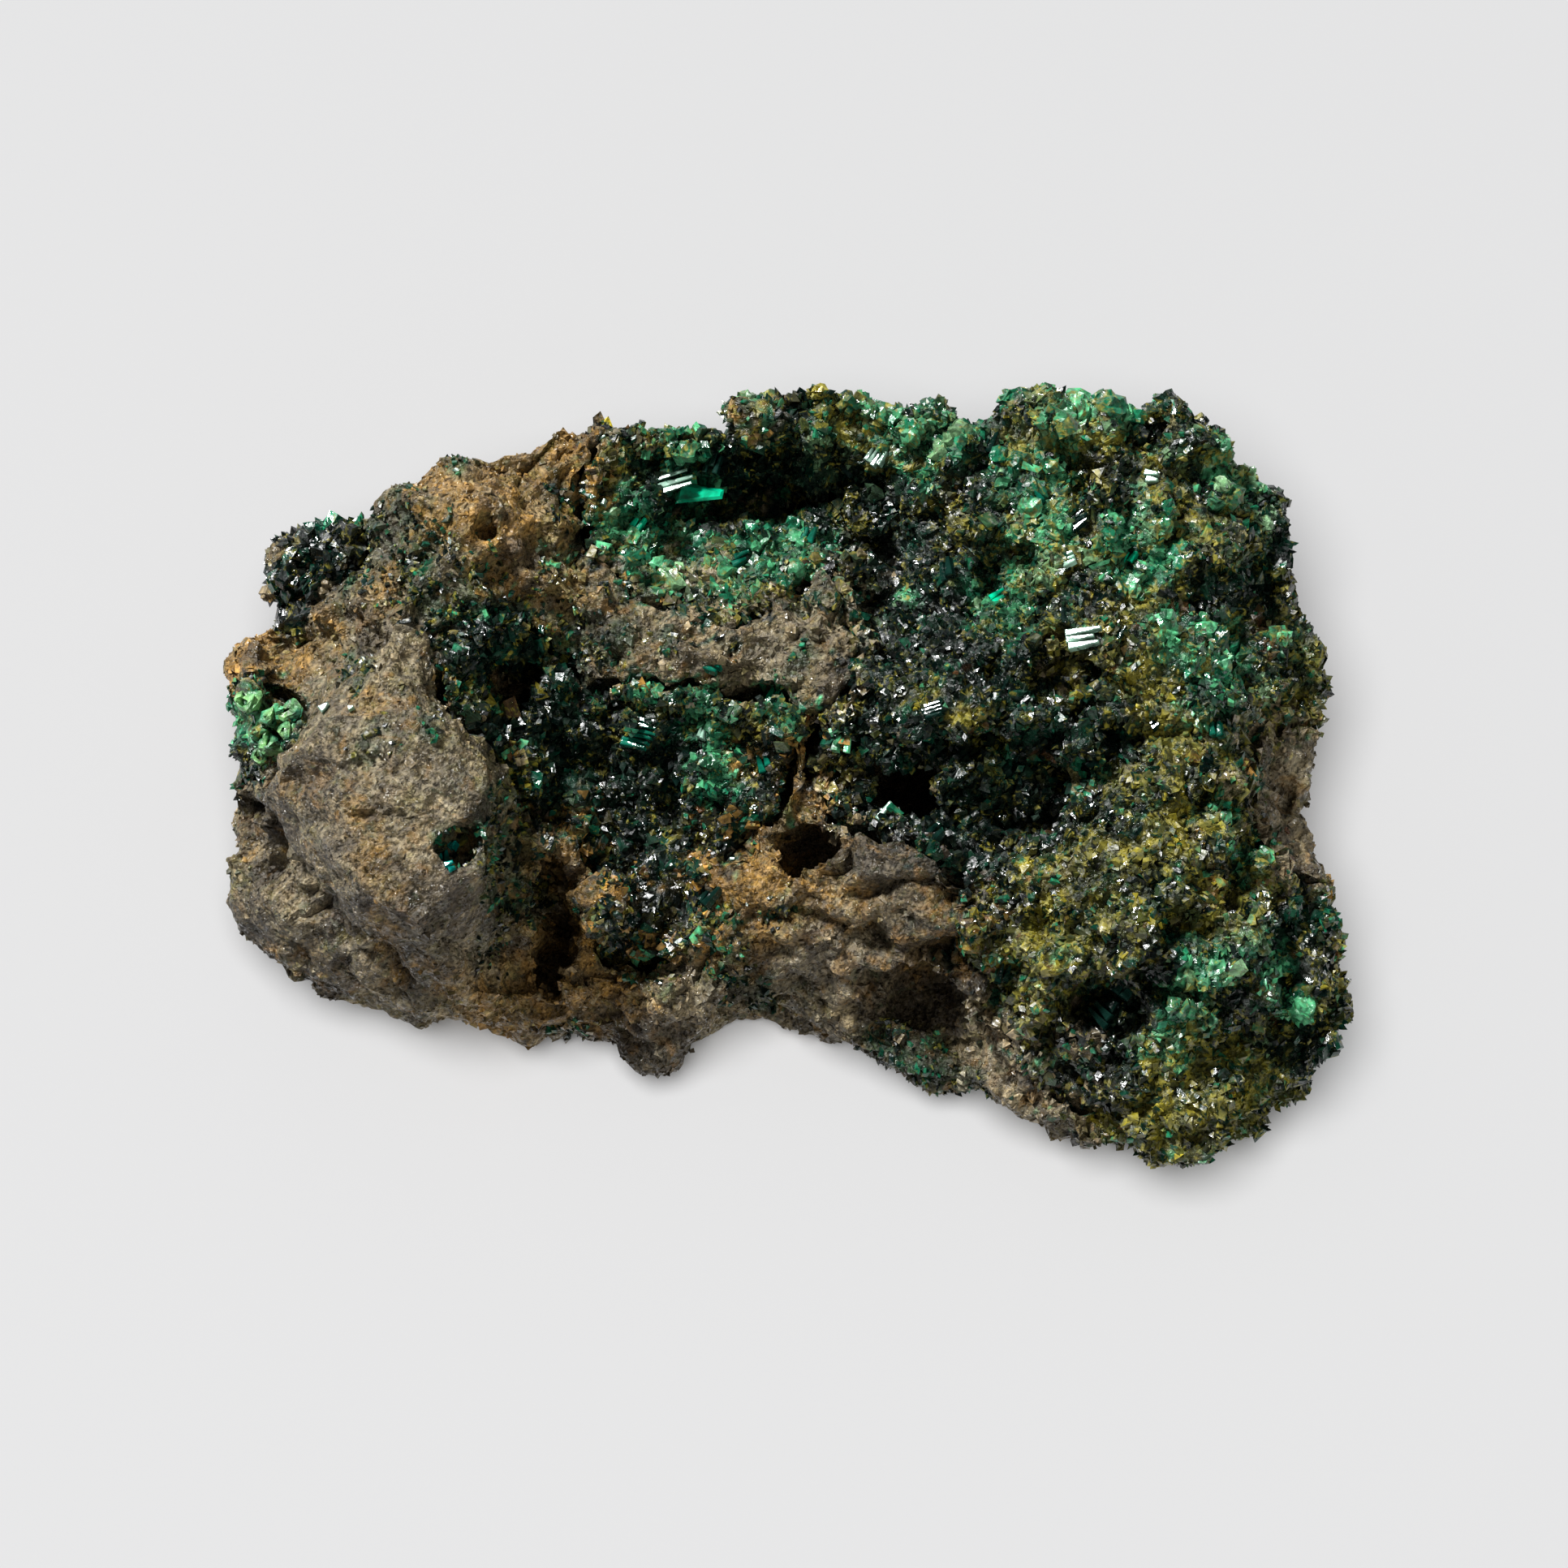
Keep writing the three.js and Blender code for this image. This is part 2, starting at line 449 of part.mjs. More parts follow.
const CRUSTS = {
  main_druse: { made: druse(MAIN_DRUSE, COARSE), color: 0x1f5a45, rough: 0.3 },
  central_druse: { made: druse(CENTRAL_DRUSE, FINE), color: 0x0f3a2c, rough: 0.3 },
  back_spray: { made: druse(BACK_SPRAY, FINE), color: 0x0c4a38, rough: 0.25 },
  edge_rosettes: { made: druse(EDGE_ROSETTES, FINE), color: 0x2f9a70, rough: 0.35 },
};
const sockets = [MAIN_DRUSE, CENTRAL_DRUSE, BACK_SPRAY, EDGE_ROSETTES].map(socket);
const hollow = wasm.Manifold.union([...sockets, ...Object.values(CRUSTS).map(({ made }) => made)]);
const matrix = { made: largest(body.subtract(hollow)), color: 0x85755c, rough: 0.9 };

const specimen = new THREE.Group();
for (const [name, { made, color, rough }] of Object.entries({ matrix_rock: matrix, ...CRUSTS })) {
  const material = new THREE.MeshStandardMaterial({ color, roughness: rough, metalness: 0 });
  const mesh = new THREE.Mesh(geometryOf(made), material);
  mesh.name = name;
  specimen.add(mesh);
}

// The origin goes under the middle of the specimen
const middle = new THREE.Box3().setFromObject(specimen).getCenter(new THREE.Vector3());
specimen.position.set(-middle.x, -middle.y, 0);

export default specimen;
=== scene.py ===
# %% [markdown]
# # A brochantite specimen
# A hand-sized lump of brown, sugary gossan rock. Its hollows are lined with crusts of brochantite, a copper
# mineral whose small bladed crystals run from jade green to almost black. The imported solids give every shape
# and size, and this script gives them their broken skin, their thousands of crystals and their colours.

import math

import bmesh
import bpy
import numpy as np
from mathutils import Matrix, Vector, noise
from mathutils.bvhtree import BVHTree


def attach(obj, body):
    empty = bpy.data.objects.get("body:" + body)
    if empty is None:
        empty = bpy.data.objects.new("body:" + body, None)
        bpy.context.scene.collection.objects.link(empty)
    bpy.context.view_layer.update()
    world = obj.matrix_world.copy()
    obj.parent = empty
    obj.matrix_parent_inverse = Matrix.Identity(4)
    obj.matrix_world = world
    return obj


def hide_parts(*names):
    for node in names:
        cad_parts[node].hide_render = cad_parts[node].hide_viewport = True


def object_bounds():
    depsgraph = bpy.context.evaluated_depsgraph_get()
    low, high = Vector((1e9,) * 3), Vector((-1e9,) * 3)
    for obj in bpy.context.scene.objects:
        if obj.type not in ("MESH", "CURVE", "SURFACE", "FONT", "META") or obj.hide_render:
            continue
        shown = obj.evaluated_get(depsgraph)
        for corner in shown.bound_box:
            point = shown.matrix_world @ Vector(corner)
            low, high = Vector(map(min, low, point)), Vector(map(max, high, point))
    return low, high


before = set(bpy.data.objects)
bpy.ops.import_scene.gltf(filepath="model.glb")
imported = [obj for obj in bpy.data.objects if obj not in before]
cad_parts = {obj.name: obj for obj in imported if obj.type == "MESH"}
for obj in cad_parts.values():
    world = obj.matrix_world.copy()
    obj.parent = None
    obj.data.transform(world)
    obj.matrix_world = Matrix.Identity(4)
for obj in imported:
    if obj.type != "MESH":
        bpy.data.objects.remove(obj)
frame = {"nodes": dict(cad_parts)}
cad_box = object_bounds()
MM = 0.001
noise.seed_set(1)  # noise_vector takes its seed from the clock otherwise, and no two runs would agree
print("nodes:", ", ".join(frame["nodes"]))
print("size in mm:", [round((b - a) / MM, 1) for a, b in zip(*cad_box)])

# %% [markdown]
# The picture looks steeply down on the table, from 72 degrees above it, through a long lens. Places in the
# picture are given in millimetres to the right of its middle and up from it. Two helpers turn places on the
# specimen into places in the picture, and a place in the picture into the line of sight behind it.

# %% The camera
PICTURE_MIDDLE = Vector((-0.01, -0.56, 12)) * MM
ELEVATION = math.radians(72)
PICTURE_WIDTH = 90.3 * MM
LENS = 105

camera = bpy.data.objects.new("camera", bpy.data.cameras.new("camera"))
bpy.context.scene.collection.objects.link(camera)
camera.data.lens = LENS
camera.data.sensor_width = 36
camera.data.clip_start = 0.01
backwards = Vector((0, -math.cos(ELEVATION), math.sin(ELEVATION)))
upwards = Vector((0, math.sin(ELEVATION), math.cos(ELEVATION)))
DISTANCE = PICTURE_WIDTH * LENS / camera.data.sensor_width
camera.location = PICTURE_MIDDLE + backwards * DISTANCE
camera.rotation_euler = (-backwards).to_track_quat("-Z", "Y").to_euler()
bpy.context.scene.camera = camera
print("camera", round(DISTANCE / MM), "mm away")


def in_the_picture(places):
    """Where places on the specimen appear in the picture, in millimetres from its middle."""
    seen = places - np.array(camera.location)
    nearer = DISTANCE / -(seen @ np.array(backwards))
    return np.stack([seen[:, 0], seen @ np.array(upwards)], axis=1) * nearer[:, None] / MM


def line_of_sight(x, up):
    """The direction from the camera to a place in the picture."""
    aim = PICTURE_MIDDLE + Vector((x, 0, 0)) * MM + upwards * up * MM
    return (aim - camera.location).normalized()


# %% [markdown]
# The floor is plain and pale. A wide soft lamp of its own lights it evenly and throws a faint shadow round
# the rock. The rock has a smaller key light from the upper left, hard enough to make every grain cast its
# shadow, and a wide fill light from the lower right. Neither the fill light nor the weak light of the room
# shows in glossy faces, so that the black crystals stay black and only the key light flashes in them.

# %% The floor and the light
def shader(name):
    """A new material, its node tree and its Principled shader."""
    material = bpy.data.materials.new(name)
    material.use_nodes = True
    return material, material.node_tree, material.node_tree.nodes["Principled BSDF"]


floor_mesh = bmesh.new()
bmesh.ops.create_grid(floor_mesh, x_segments=1, y_segments=1, size=3)
floor = bpy.data.objects.new("floor", bpy.data.meshes.new("floor"))
floor_mesh.to_mesh(floor.data)
floor_mesh.free()
bpy.context.scene.collection.objects.link(floor)
paper, _, paper_shader = shader("pale_paper")
paper_shader.inputs["Base Color"].default_value = (0.8, 0.8, 0.805, 1)
paper_shader.inputs["Roughness"].default_value = 0.9
floor.data.materials.append(paper)


def lamp(name, towards, distance, size, power, floor_state):
    """A round lamp. With floor_state INCLUDE it lights the floor alone, with EXCLUDE all but the floor."""
    light = bpy.data.lights.new(name, "AREA")
    light.shape = "DISK"
    light.size = size
    light.energy = power
    holder = bpy.data.objects.new(name, light)
    direction = Vector(towards).normalized()
    holder.location = PICTURE_MIDDLE + direction * distance
    holder.rotation_euler = direction.to_track_quat("Z", "Y").to_euler()
    bpy.context.scene.collection.objects.link(holder)
    receivers = bpy.data.collections.new(name + "_receivers")
    receivers.objects.link(floor)
    receivers.collection_objects[0].light_linking.link_state = floor_state
    holder.light_linking.receiver_collection = receivers
    return holder


KEY = lamp("key_light", (-0.48, 0.48, 0.85), 0.7, 0.13, 10.7, "EXCLUDE").location
fill = lamp("fill_light", (0.62, -0.72, 0.6), 0.7, 0.8, 2.9, "EXCLUDE")
fill.visible_glossy = False
lamp("floor_softbox", (-0.1, -0.14, 0.95), 1.5, 1, 22, "INCLUDE")

ROOM_LIGHT = 0.13
world = bpy.data.worlds.new("room")
world.use_nodes = True
world.node_tree.nodes["Background"].inputs["Color"].default_value = (1, 1, 1, 1)
world.node_tree.nodes["Background"].inputs["Strength"].default_value = ROOM_LIGHT
world.cycles_visibility.glossy = False
bpy.context.scene.world = world
bpy.context.scene.view_settings.view_transform = "Standard"
print("key light at", [round(a, 2) for a in KEY])

# %% [markdown]
# Colour changes from place to place in two steps. A few dozen round patches for most tones, placed
# as they appear in the picture, say where a tone is common, and a slow noise warps their edges. Inside them
# the tone changes from clump to clump, as it does on the real crust: every Voronoi cell picks its own tone,
# and the patches only change the odds. The same kind of patches says where the rock is smooth or striped, and
# where the fan of dark crystals grows.

# %% The patches
PATCHES = {
    # right, up, radius
    "ochre": [
        (-18, -3, 0.7), (-12.4, -11.4, 1.7), (-9.2, -12.3, 1.4), (-15.2, -12.1, 1.2), (-13.4, -8.6, 1.1),
        (-1.2, 3.1, 0.8), (-17.1, 15.2, 3.3), (-19.7, 17.6, 1.4), (-12.9, 17.6, 2.8), (-31.1, 6.6, 2.3),
        (-27.6, 8.2, 1.4), (-23.9, 4.5, 0.8), (-28.8, 9.6, 1.4), (-12.9, -3.9, 1.9), (-10.6, -6.7, 2.6),
        (-11.5, -2.1, 1.4), (-14.8, -10, 1.9), (-16.2, -12.8, 1.9), (-12.4, -10.9, 2.3),
        (-9.6, -10.9, 2.8), (-6.8, -8.6, 1.4), (-3.1, -4.4, 2.3), (-1.2, -6.3, 2.8), (-5, -5.8, 1.4),
        (-0.5, 1.9, 1.9), (2.5, -0.2, 1.7), (-1.7, 21.8, 1.4), (-12.4, 11.5, 1.4), (10, -8.1, 1.4),
        (8.1, -10, 1.2), (1.1, -7.2, 1.9), (-22.6, -10, 0.7), (-28.3, -0.2, 0.8), (-4, -9.5, 1.4),
        (-24.1, -2.1, 1), (-23.8, -3.9, 1.1), (-23.4, -6, 1.1), (-23, -8.1, 0.9), (-22.5, -10.2, 0.7),
        (-28.7, -0.1, 0.7), (-19, -11.6, 1.1), (-17.6, -12.8, 0.9), (-15.2, -10.9, 1), (1.6, -6.3, 1.4),
        (4.4, -6.7, 1.1), (25.2, -6.3, 0.9), (24.5, -5.1, 0.7), (-14.3, -13.7, 1.4), (-23.2, 11, 1.4),
        (-12.9, -12.3, 1.2), (23.6, -3.5, 0.7),
    ],
    "grey": [
        (-1.5, 21.6, 1.3), (3.5, 10.6, 1.7), (5.1, 8.7, 1.1), (-3.1, 4.5, 0.7), (14.2, -15.1, 1.4),
        (10.9, -13.7, 1), (-23.2, 11.5, 1.9), (-22.7, 7.8, 2.3), (-19, 17.1, 1.4), (-25, 1.7, 4.2),
        (-20.8, -1.6, 3.7), (-25.5, -3.9, 3.7), (-27.4, -1.6, 2.8), (-28.8, -7.7, 2.3),
        (-22.7, -7.7, 3.7), (-19.4, -10, 2.8), (1.6, 10.6, 2.8), (-5, 10.6, 2.8), (-7.8, 12.4, 1.9),
        (2.5, 12.9, 1.9), (-1.7, 6.8, 2.3), (5.6, -5.6, 1.6), (4.4, -7.2, 2.3), (28.2, 0.3, 2.3),
        (28.7, 3.1, 1.9), (15.6, -16.5, 2.8), (12.8, -15.6, 2.3), (-6.8, -15.1, 1.9), (1.6, -10, 2.8),
        (3.9, -10.9, 2.3), (-5.4, -11.9, 2.8), (29.2, -3.9, 1.4), (-19, 12.4, 1.4), (-25.5, 12.4, 1.2),
        (-22.7, 13.4, 1.2), (-15.2, -15.1, 1.4), (-14.3, -10.9, 1.2), (29.2, 0.3, 0.9), (29.6, -4.4, 0.8),
        (-12.4, -10, 0.9), (-11.5, -13.3, 1.1), (-23.6, 15.2, 0.9), (-27.4, 9.6, 1.1), (-16.2, -14.2, 1),
    ],
    "umber": [
        (-3.1, -3.5, 1.2), (-0.3, -6.7, 1.2), (1.6, -4.4, 1), (-4.5, -5.8, 1), (4.4, -4.4, 1),
        (7.2, -6.7, 1.1), (9.1, -8.6, 1.2), (-26.7, 0.3, 1.6), (-23.2, -4.4, 0.9), (-20.8, -7.7, 1.9),
        (-25.5, -7.7, 1.4), (-17.6, -2.1, 1.2), (-29.7, -5.8, 1.2), (8.1, -10.9, 2.8), (6.7, -12.8, 2.3),
        (-9.6, -14.7, 1.9), (-16.2, -8.6, 1.4), (-29.7, -2.1, 1.4), (-30.7, -9.1, 1.4),
        (-14.8, 12.4, 1.4), (-26.4, -10, 1.9), (10, -6.3, 1.4), (-12.9, -14.2, 1.4), (-7.1, -15.6, 1.9),
        (6.3, -3.9, 1.6), (9.1, -5.3, 1.4), (7.7, -2.5, 1.2), (-3.1, 9.2, 0.9), (2.1, -7.7, 0.9),
        (-20.8, -10, 1.4), (-19, -7.2, 1.1), (8.6, -3.5, 1), (7.2, -5.8, 0.9), (5.3, -5.8, 0.8),
        (10.9, -4.4, 0.8), (-4, -1.6, 0.7),
    ],
    "smooth": [
        (-1.5, 21.8, 1.4), (-25, 1.7, 5.1), (-20.8, -1.6, 4.7), (-25.5, -5.3, 5.1), (-20.8, -7.2, 5.1),
        (-28.8, -1.6, 3.3), (-29.7, -7.2, 2.8), (-22.7, -10.9, 3.3), (6.3, -5.3, 2.3),
    ],
    "striped": [
        (-26.4, -7.2, 4.2), (-22.7, -11.9, 3.7), (-29.3, -8.6, 2.3), (-29.7, 0.7, 2.3),
        (-19.4, -12.8, 2.3),
    ],
    "green": [
        (-5, 11.5, 1.2), (-2.6, 11, 1.4), (-0.3, 12, 1.2), (1.1, 12.9, 1.1), (-1.7, 12.9, 1.2),
        (-6.8, 12.4, 1), (-3.1, -11.4, 0.7), (-1.4, -12.1, 0.8), (-19.4, -3, 0.9), (-18.3, -4.2, 0.7),
        (-14.5, -1.6, 1), (-14.3, -3.5, 1), (-14.8, -5.8, 1.1), (-21.8, 13.4, 2.8), (-19, 11, 2.3),
        (-16.2, 8.7, 1.9), (-12.9, 8.2, 1.9), (-19, 12.4, 1.9), (-25, 12.9, 1.4), (-10.6, 8.2, 1.4),
        (-24.6, 6.4, 0.9), (-26.4, 15.2, 1.4), (-15.2, -1.6, 1.9), (-15.2, -6.3, 1.4), (-3.1, -10.5, 1.4),
        (-0.3, 4.5, 1.4), (-4, 3.6, 1.4), (-12.4, 0.3, 1.4), (-7.8, -10, 1.4), (-12.4, -14.7, 0.9),
        (9.1, -16.5, 1.4), (5.8, -15.1, 1.2), (10.9, -17.5, 0.9), (-24.1, 2.1, 0.9), (-16.2, -4.4, 1.1),
        (-15.7, -6.7, 1.1), (-16.6, -9.1, 1), (-14.8, 0.3, 0.9), (-17.1, -10.5, 0.7), (-23.2, 2.9, 0.9),
        (-20.4, 3.1, 0.7), (-12.4, 16.2, 1.4), (-10.6, 14.3, 1.2), (-12.9, 12.4, 1.2), (-25.5, 12.4, 0.8),
        (-23.2, 11.5, 0.8), (-5, -6.3, 1.1), (-3.1, -8.6, 1.1), (-0.3, -7.2, 0.9), (-8.7, -7.2, 0.9),
        (1.6, 10.6, 0.8), (-9.6, 11.5, 0.9), (-6.8, 8.2, 0.7), (3.9, 10.6, 0.7), (-3.1, 7.8, 0.7),
        (1.1, 7.3, 0.7), (-19, 19, 0.9), (-16.2, 20.8, 0.9), (-12.4, 23.2, 0.7),
    ],
    "jade": [
        (-3.1, 11.7, 1), (-0.3, 12.4, 1), (-5.9, 12.4, 0.8), (25, 6.4, 1.4), (24, 4, 1), (22.1, 7.8, 0.9),
        (-29.7, 4, 1.6), (-5, 17.1, 1.2), (-8.2, 14.8, 1.9), (-5.4, 14.3, 1.4), (-7.3, 12.9, 1.4),
        (-2.1, 12.4, 1.4), (1.6, 13.8, 1.6), (-0.7, 14.8, 1.4), (6.7, 20.8, 1.6), (10, 19.9, 1.4),
        (8.1, 19, 1.4), (5.3, 21.8, 0.9), (14.2, 17.1, 2.3), (13.3, 18.5, 1.4), (15.1, 19, 1.4),
        (15.6, 14.8, 1.4), (20.3, 13.4, 2.1), (22.1, 14.3, 1.4), (18.9, 12.9, 1.4), (12.3, 10.6, 1.9),
        (17, 22.2, 1.9), (26.4, 18.5, 1.9), (25.4, 17.1, 1.2), (24.5, 8.7, 1.2), (22.1, 8.7, 0.9),
        (24, 5.4, 0.9), (-4.5, 3.6, 1.4), (-4, 0.7, 1.4), (0.2, 5, 1.4), (-5, -0.2, 0.9),
        (-8.2, 5.9, 0.9), (26.8, -4.4, 0.9), (24.5, -10.9, 1.4), (27.8, -10, 1.2), (23.1, -12.8, 1.4),
        (29.2, -12.3, 1.4), (-5.9, 19.9, 1.4), (-10.8, 4.5, 0.9), (17.5, 22.7, 1.2), (20.3, 21.8, 1),
        (13.3, 23.2, 0.8), (-1.7, 22.2, 0.9), (-4.5, 22.7, 0.7), (22.1, -15.1, 1.1), (25, -1.6, 0.7),
        (22.1, 9.6, 0.7),
    ],
    "sage": [
        (26.1, 18.3, 1.8), (15.6, 21.5, 1.6), (17.7, 20.8, 1), (27.8, 15.2, 0.8), (25, -10.5, 1.2),
        (23.3, -12.6, 1.2), (27.1, -8.8, 0.9), (17.2, -10, 0.8), (2.1, 19, 1.1), (5.3, 17.1, 0.9),
        (9.1, 19.7, 1.1), (-4, 19, 0.9), (21.2, 15.2, 1), (12.8, 17.1, 1.1), (14.7, 12.4, 0.9),
        (27.3, -15.1, 0.9), (20.3, -15.1, 0.8), (10, 21.3, 1.1), (7.2, 21.5, 1.1), (11.4, 20.4, 0.9),
        (22.6, 19, 0.9), (15.1, 21.8, 0.8), (-6.8, 21.8, 0.7), (18.9, 20.4, 0.7), (26.8, 12.4, 0.7),
        (17, 24.1, 1), (20.3, 23.2, 0.9), (24, 20.8, 0.8), (29.2, 7.8, 0.7), (27.8, 5.4, 0.7),
    ],
    "fan": [
        (-27.4, 12.4, 1.6), (-26.2, 14.3, 1.3), (-28.2, 10.8, 1.2), (-28.8, 9.6, 0.9),
    ],
    "mustard": [
        (3.9, 21.3, 1.2), (10, 21.8, 0.9), (3.9, 15.2, 0.7), (13.7, 19.9, 1.4), (17.9, 19, 1.4),
        (21.2, 17.6, 1.6), (23.1, 14.8, 1.4), (10, 14.3, 1.2), (17.5, 21.8, 0.9), (24.5, 19, 0.9),
        (13.3, 15.2, 1.2), (16.1, 12.9, 0.9), (19.3, 9.2, 1.9), (16.1, 6.4, 1.4), (21.2, 5.9, 1.6),
        (22.6, 3.1, 1.9), (24, 0.7, 1.9), (21.7, -1.1, 2.3), (30.1, 10.6, 1.4), (30.6, 6.8, 1.2),
        (29.6, 4.5, 0.9), (25, -2.1, 1.9), (17.9, -5.3, 2.8), (15.6, -6.7, 2.8), (13.3, -8.6, 2.8),
        (20.3, -4.4, 1.9), (17, -8.6, 2.3), (22.6, -5.8, 1.9), (25.9, -7.2, 1.9), (14.2, -10.9, 2.3),
        (19.3, -9.1, 1.9), (25, -17, 3.3), (22.1, -19.3, 2.8), (26.8, -15.1, 1.9), (20.3, -20.3, 2.3),
        (27.8, -17.5, 1.4), (31.5, -10, 1.2), (31, -12.3, 1.2), (22.6, -16.1, 1.9), (-1.7, 3.6, 0.9),
        (7.7, 5.4, 0.9), (10.9, 3.6, 1.2), (17, 16.6, 0.9), (-17.1, 0.7, 0.9), (-15.2, 0.7, 0.9),
        (27.8, 1.7, 0.7), (29.6, -1.6, 0.7), (27.8, -4.4, 0.7), (30.1, 4, 0.7), (31.5, -10.5, 1.4),
        (18.9, 22.7, 0.7), (15.6, 20.8, 0.7), (22.1, 21.3, 0.7),
    ],
    "black": [
        (-3.1, 17.6, 1.2), (1.6, 18, 1.1), (6.7, 14.8, 1.6), (10, 12.4, 1.2), (17.9, -11.4, 1.4),
        (21.2, -9.5, 1.2), (17, 0.7, 1.4), (10, -2.1, 1.2), (19.8, 12.4, 1), (25, -3, 1.1),
        (-6.8, 0.3, 1.1), (-14.3, 5.4, 2.3), (-15.2, 7.3, 1.4), (-12.4, 5.9, 1.9), (-11.5, 0.7, 2.8),
        (-9.6, -1.6, 2.8), (-7.8, -4.4, 2.8), (-8.2, -8.1, 1.9), (-6.4, 1.2, 2.3), (-12.4, 2.6, 1.9),
        (-4.5, -2.1, 1.9), (-0.3, 0.3, 1.9), (-17.1, 8.2, 1.9), (-16.2, 3.1, 1.9), (6.3, 14.3, 2.3),
        (5.3, 16.2, 1.9), (8.1, 11, 2.3), (10.5, 12.4, 1.9), (8.1, 7.8, 2.8), (6.3, 5.4, 2.3),
        (10.5, 6.4, 2.3), (13.3, 3.1, 2.3), (14.7, 6.4, 1.4), (0.7, 16.6, 2.3), (-1.7, 17.1, 1.9),
        (-4, 18.5, 1.9), (-6.8, 16.2, 1.4), (8.6, 0.3, 4.2), (13.7, -1.6, 2.3), (11.9, -4.4, 2.8),
        (17, 1.7, 2.8), (15.1, -1.6, 2.3), (22.1, 19.9, 1.9), (23.6, 17.1, 1.4), (29.2, 14.3, 1.9),
        (27.8, 11.5, 1.4), (19.8, 17.6, 1.4), (17.9, 11, 1.4), (25, 10.6, 1.4), (12.3, 17.1, 1.4),
        (17.5, -16.1, 2.3), (19.3, -12.8, 2.3), (20.7, -10.5, 1.9), (29.2, -10, 2.3), (29.6, -14.7, 1.9),
        (-27.4, 12.9, 2.3), (26.4, -13.3, 1.4), (-19, 7.3, 1.2), (11.4, 19.7, 1.2), (-4.5, 14.8, 0.9),
        (-1.7, 14.8, 1), (0.9, 15.2, 0.9), (3.5, 1.7, 1.1), (2.1, 2.9, 0.9), (19.8, -2.1, 1),
        (21.2, -5.8, 1), (23.6, 0.3, 0.9), (17, -5.3, 0.9), (18.9, -9.1, 1), (24, 5, 0.8),
        (20.3, 1.7, 0.8), (22.1, -10.9, 0.9), (-8.2, -5.3, 1.4), (-5.4, -4.4, 1.1), (-7.8, 0.3, 1.3),
        (-9.6, 2.1, 1.1), (6.7, 10.6, 1.3), (8.6, 12.9, 1.1), (5.3, 12.4, 0.9), (12.3, 12.4, 0.7),
        (10.5, 9.6, 0.9), (-7.8, -6.3, 1.1), (-5.9, -3, 1), (7.2, -2.1, 0.9), (9.5, 19, 0.8),
        (12.8, 16.2, 0.7), (5.8, 6.4, 1),
    ],
}


def wavering(places, size, amount):
    """Where places appear in the picture, shifted by a noise so that shapes drawn there get uneven edges."""
    shift = np.array([noise.noise_vector(Vector(p) / (size * MM)) for p in places])[:, :2]
    return in_the_picture(places) + amount * shift


def patch_weights(patch, places):
    """How strongly the patches cover each place: 1 inside them, falling to 0 outside."""
    table = np.array(PATCHES[patch])
    spots = wavering(places, 1.5, 1)
    apart = np.linalg.norm(spots[:, None, :] - table[None, :, :2], axis=2)
    return np.clip(1.8 - 1.2 * apart / table[:, 2], 0, 1).max(axis=1)


print({patch: len(spots) for patch, spots in PATCHES.items()})

# %% [markdown]
# A tone is a linear colour. For each tone, a table of odds says how common it is everywhere, which patches
# make it more common, and by how much. The crusts have one table and the rock has another.

# %% The tones
TONES = {
    "black_green": (0.002, 0.007, 0.0055),
    "deep_green": (0.003, 0.03, 0.017),
    "teal": (0.008, 0.105, 0.05),
    "jade": (0.055, 0.26, 0.116),
    "sage": (0.13, 0.25, 0.118),
    "mustard": (0.27, 0.22, 0.014),
    "olive": (0.062, 0.07, 0.014),
    "rust": (0.1, 0.032, 0.008),
    "taupe": (0.22, 0.168, 0.094),
    "grey": (0.225, 0.195, 0.132),
    "umber": (0.034, 0.025, 0.016),
    "khaki": (0.17, 0.145, 0.05),
    "ochre": (0.29, 0.155, 0.034),
}
CRUST_ODDS = {
    "black_green": (0.3, "black", 2.2),
    "deep_green": (0.24, "black", 0.4),
    "teal": (0.11, "jade", 0.9),
    "jade": (0.015, "jade", 1.1),
    "sage": (0.01, "sage", 1.2),
    "mustard": (0.02, "mustard", 0.3),
    "olive": (0.12, "mustard", 0.35),
    "khaki": (0.02, "mustard", 0.1),
    "rust": (0.03, "mustard", 0.04),
    "taupe": (0.005, "grey", 0.8),
    "ochre": (0.005, "ochre", 0.7),
}
ROCK_ODDS = {
    "taupe": (0.36, "grey", 0.5),
    "grey": (0.08, "grey", 0.6),
    "khaki": (0.22, "ochre", 0.6),
    "umber": (0.26, "umber", 3.2),
    "ochre": (0.05, "ochre", 2.2),
    "olive": (0.06, "mustard", 0.6),
    "deep_green": (0.02, "green", 1),
    "black_green": (0.02, "green", 0.9),
    "teal": (0, "green", 0.5),
}
DOME = 1.8 * MM
CLUMP = 1.5 * MM
SMALL_CLUMP = 0.7 * MM


def tone_shares(places, odds):
    """How likely each tone is at each place. The shares of a place add up to 1."""
    weights = [base + gain * patch_weights(patch, places) for base, patch, gain in odds.values()]
    weights = np.stack(weights, axis=1)
    return weights / weights.sum(axis=1)[:, None]


def clump_numbers(places, size):
    """A number from 0 to 1 for each place, the same for all the places in one clump of that size."""
    hearts = np.array([noise.voronoi(Vector(p) / size)[1][0] for p in places])
    return (np.sin(hearts @ np.array([12.99, 78.23, 37.72])) * 43758.5) % 1


def painted_crease_shade(places):
    """Painted shade: brighter on the domes of the skin below, and darker in the creases between them."""
    apart = np.array([noise.voronoi(Vector(p) / DOME)[0][0] for p in places])
    return np.clip(1.4 - 1.1 * apart, 0.35, 1.2)


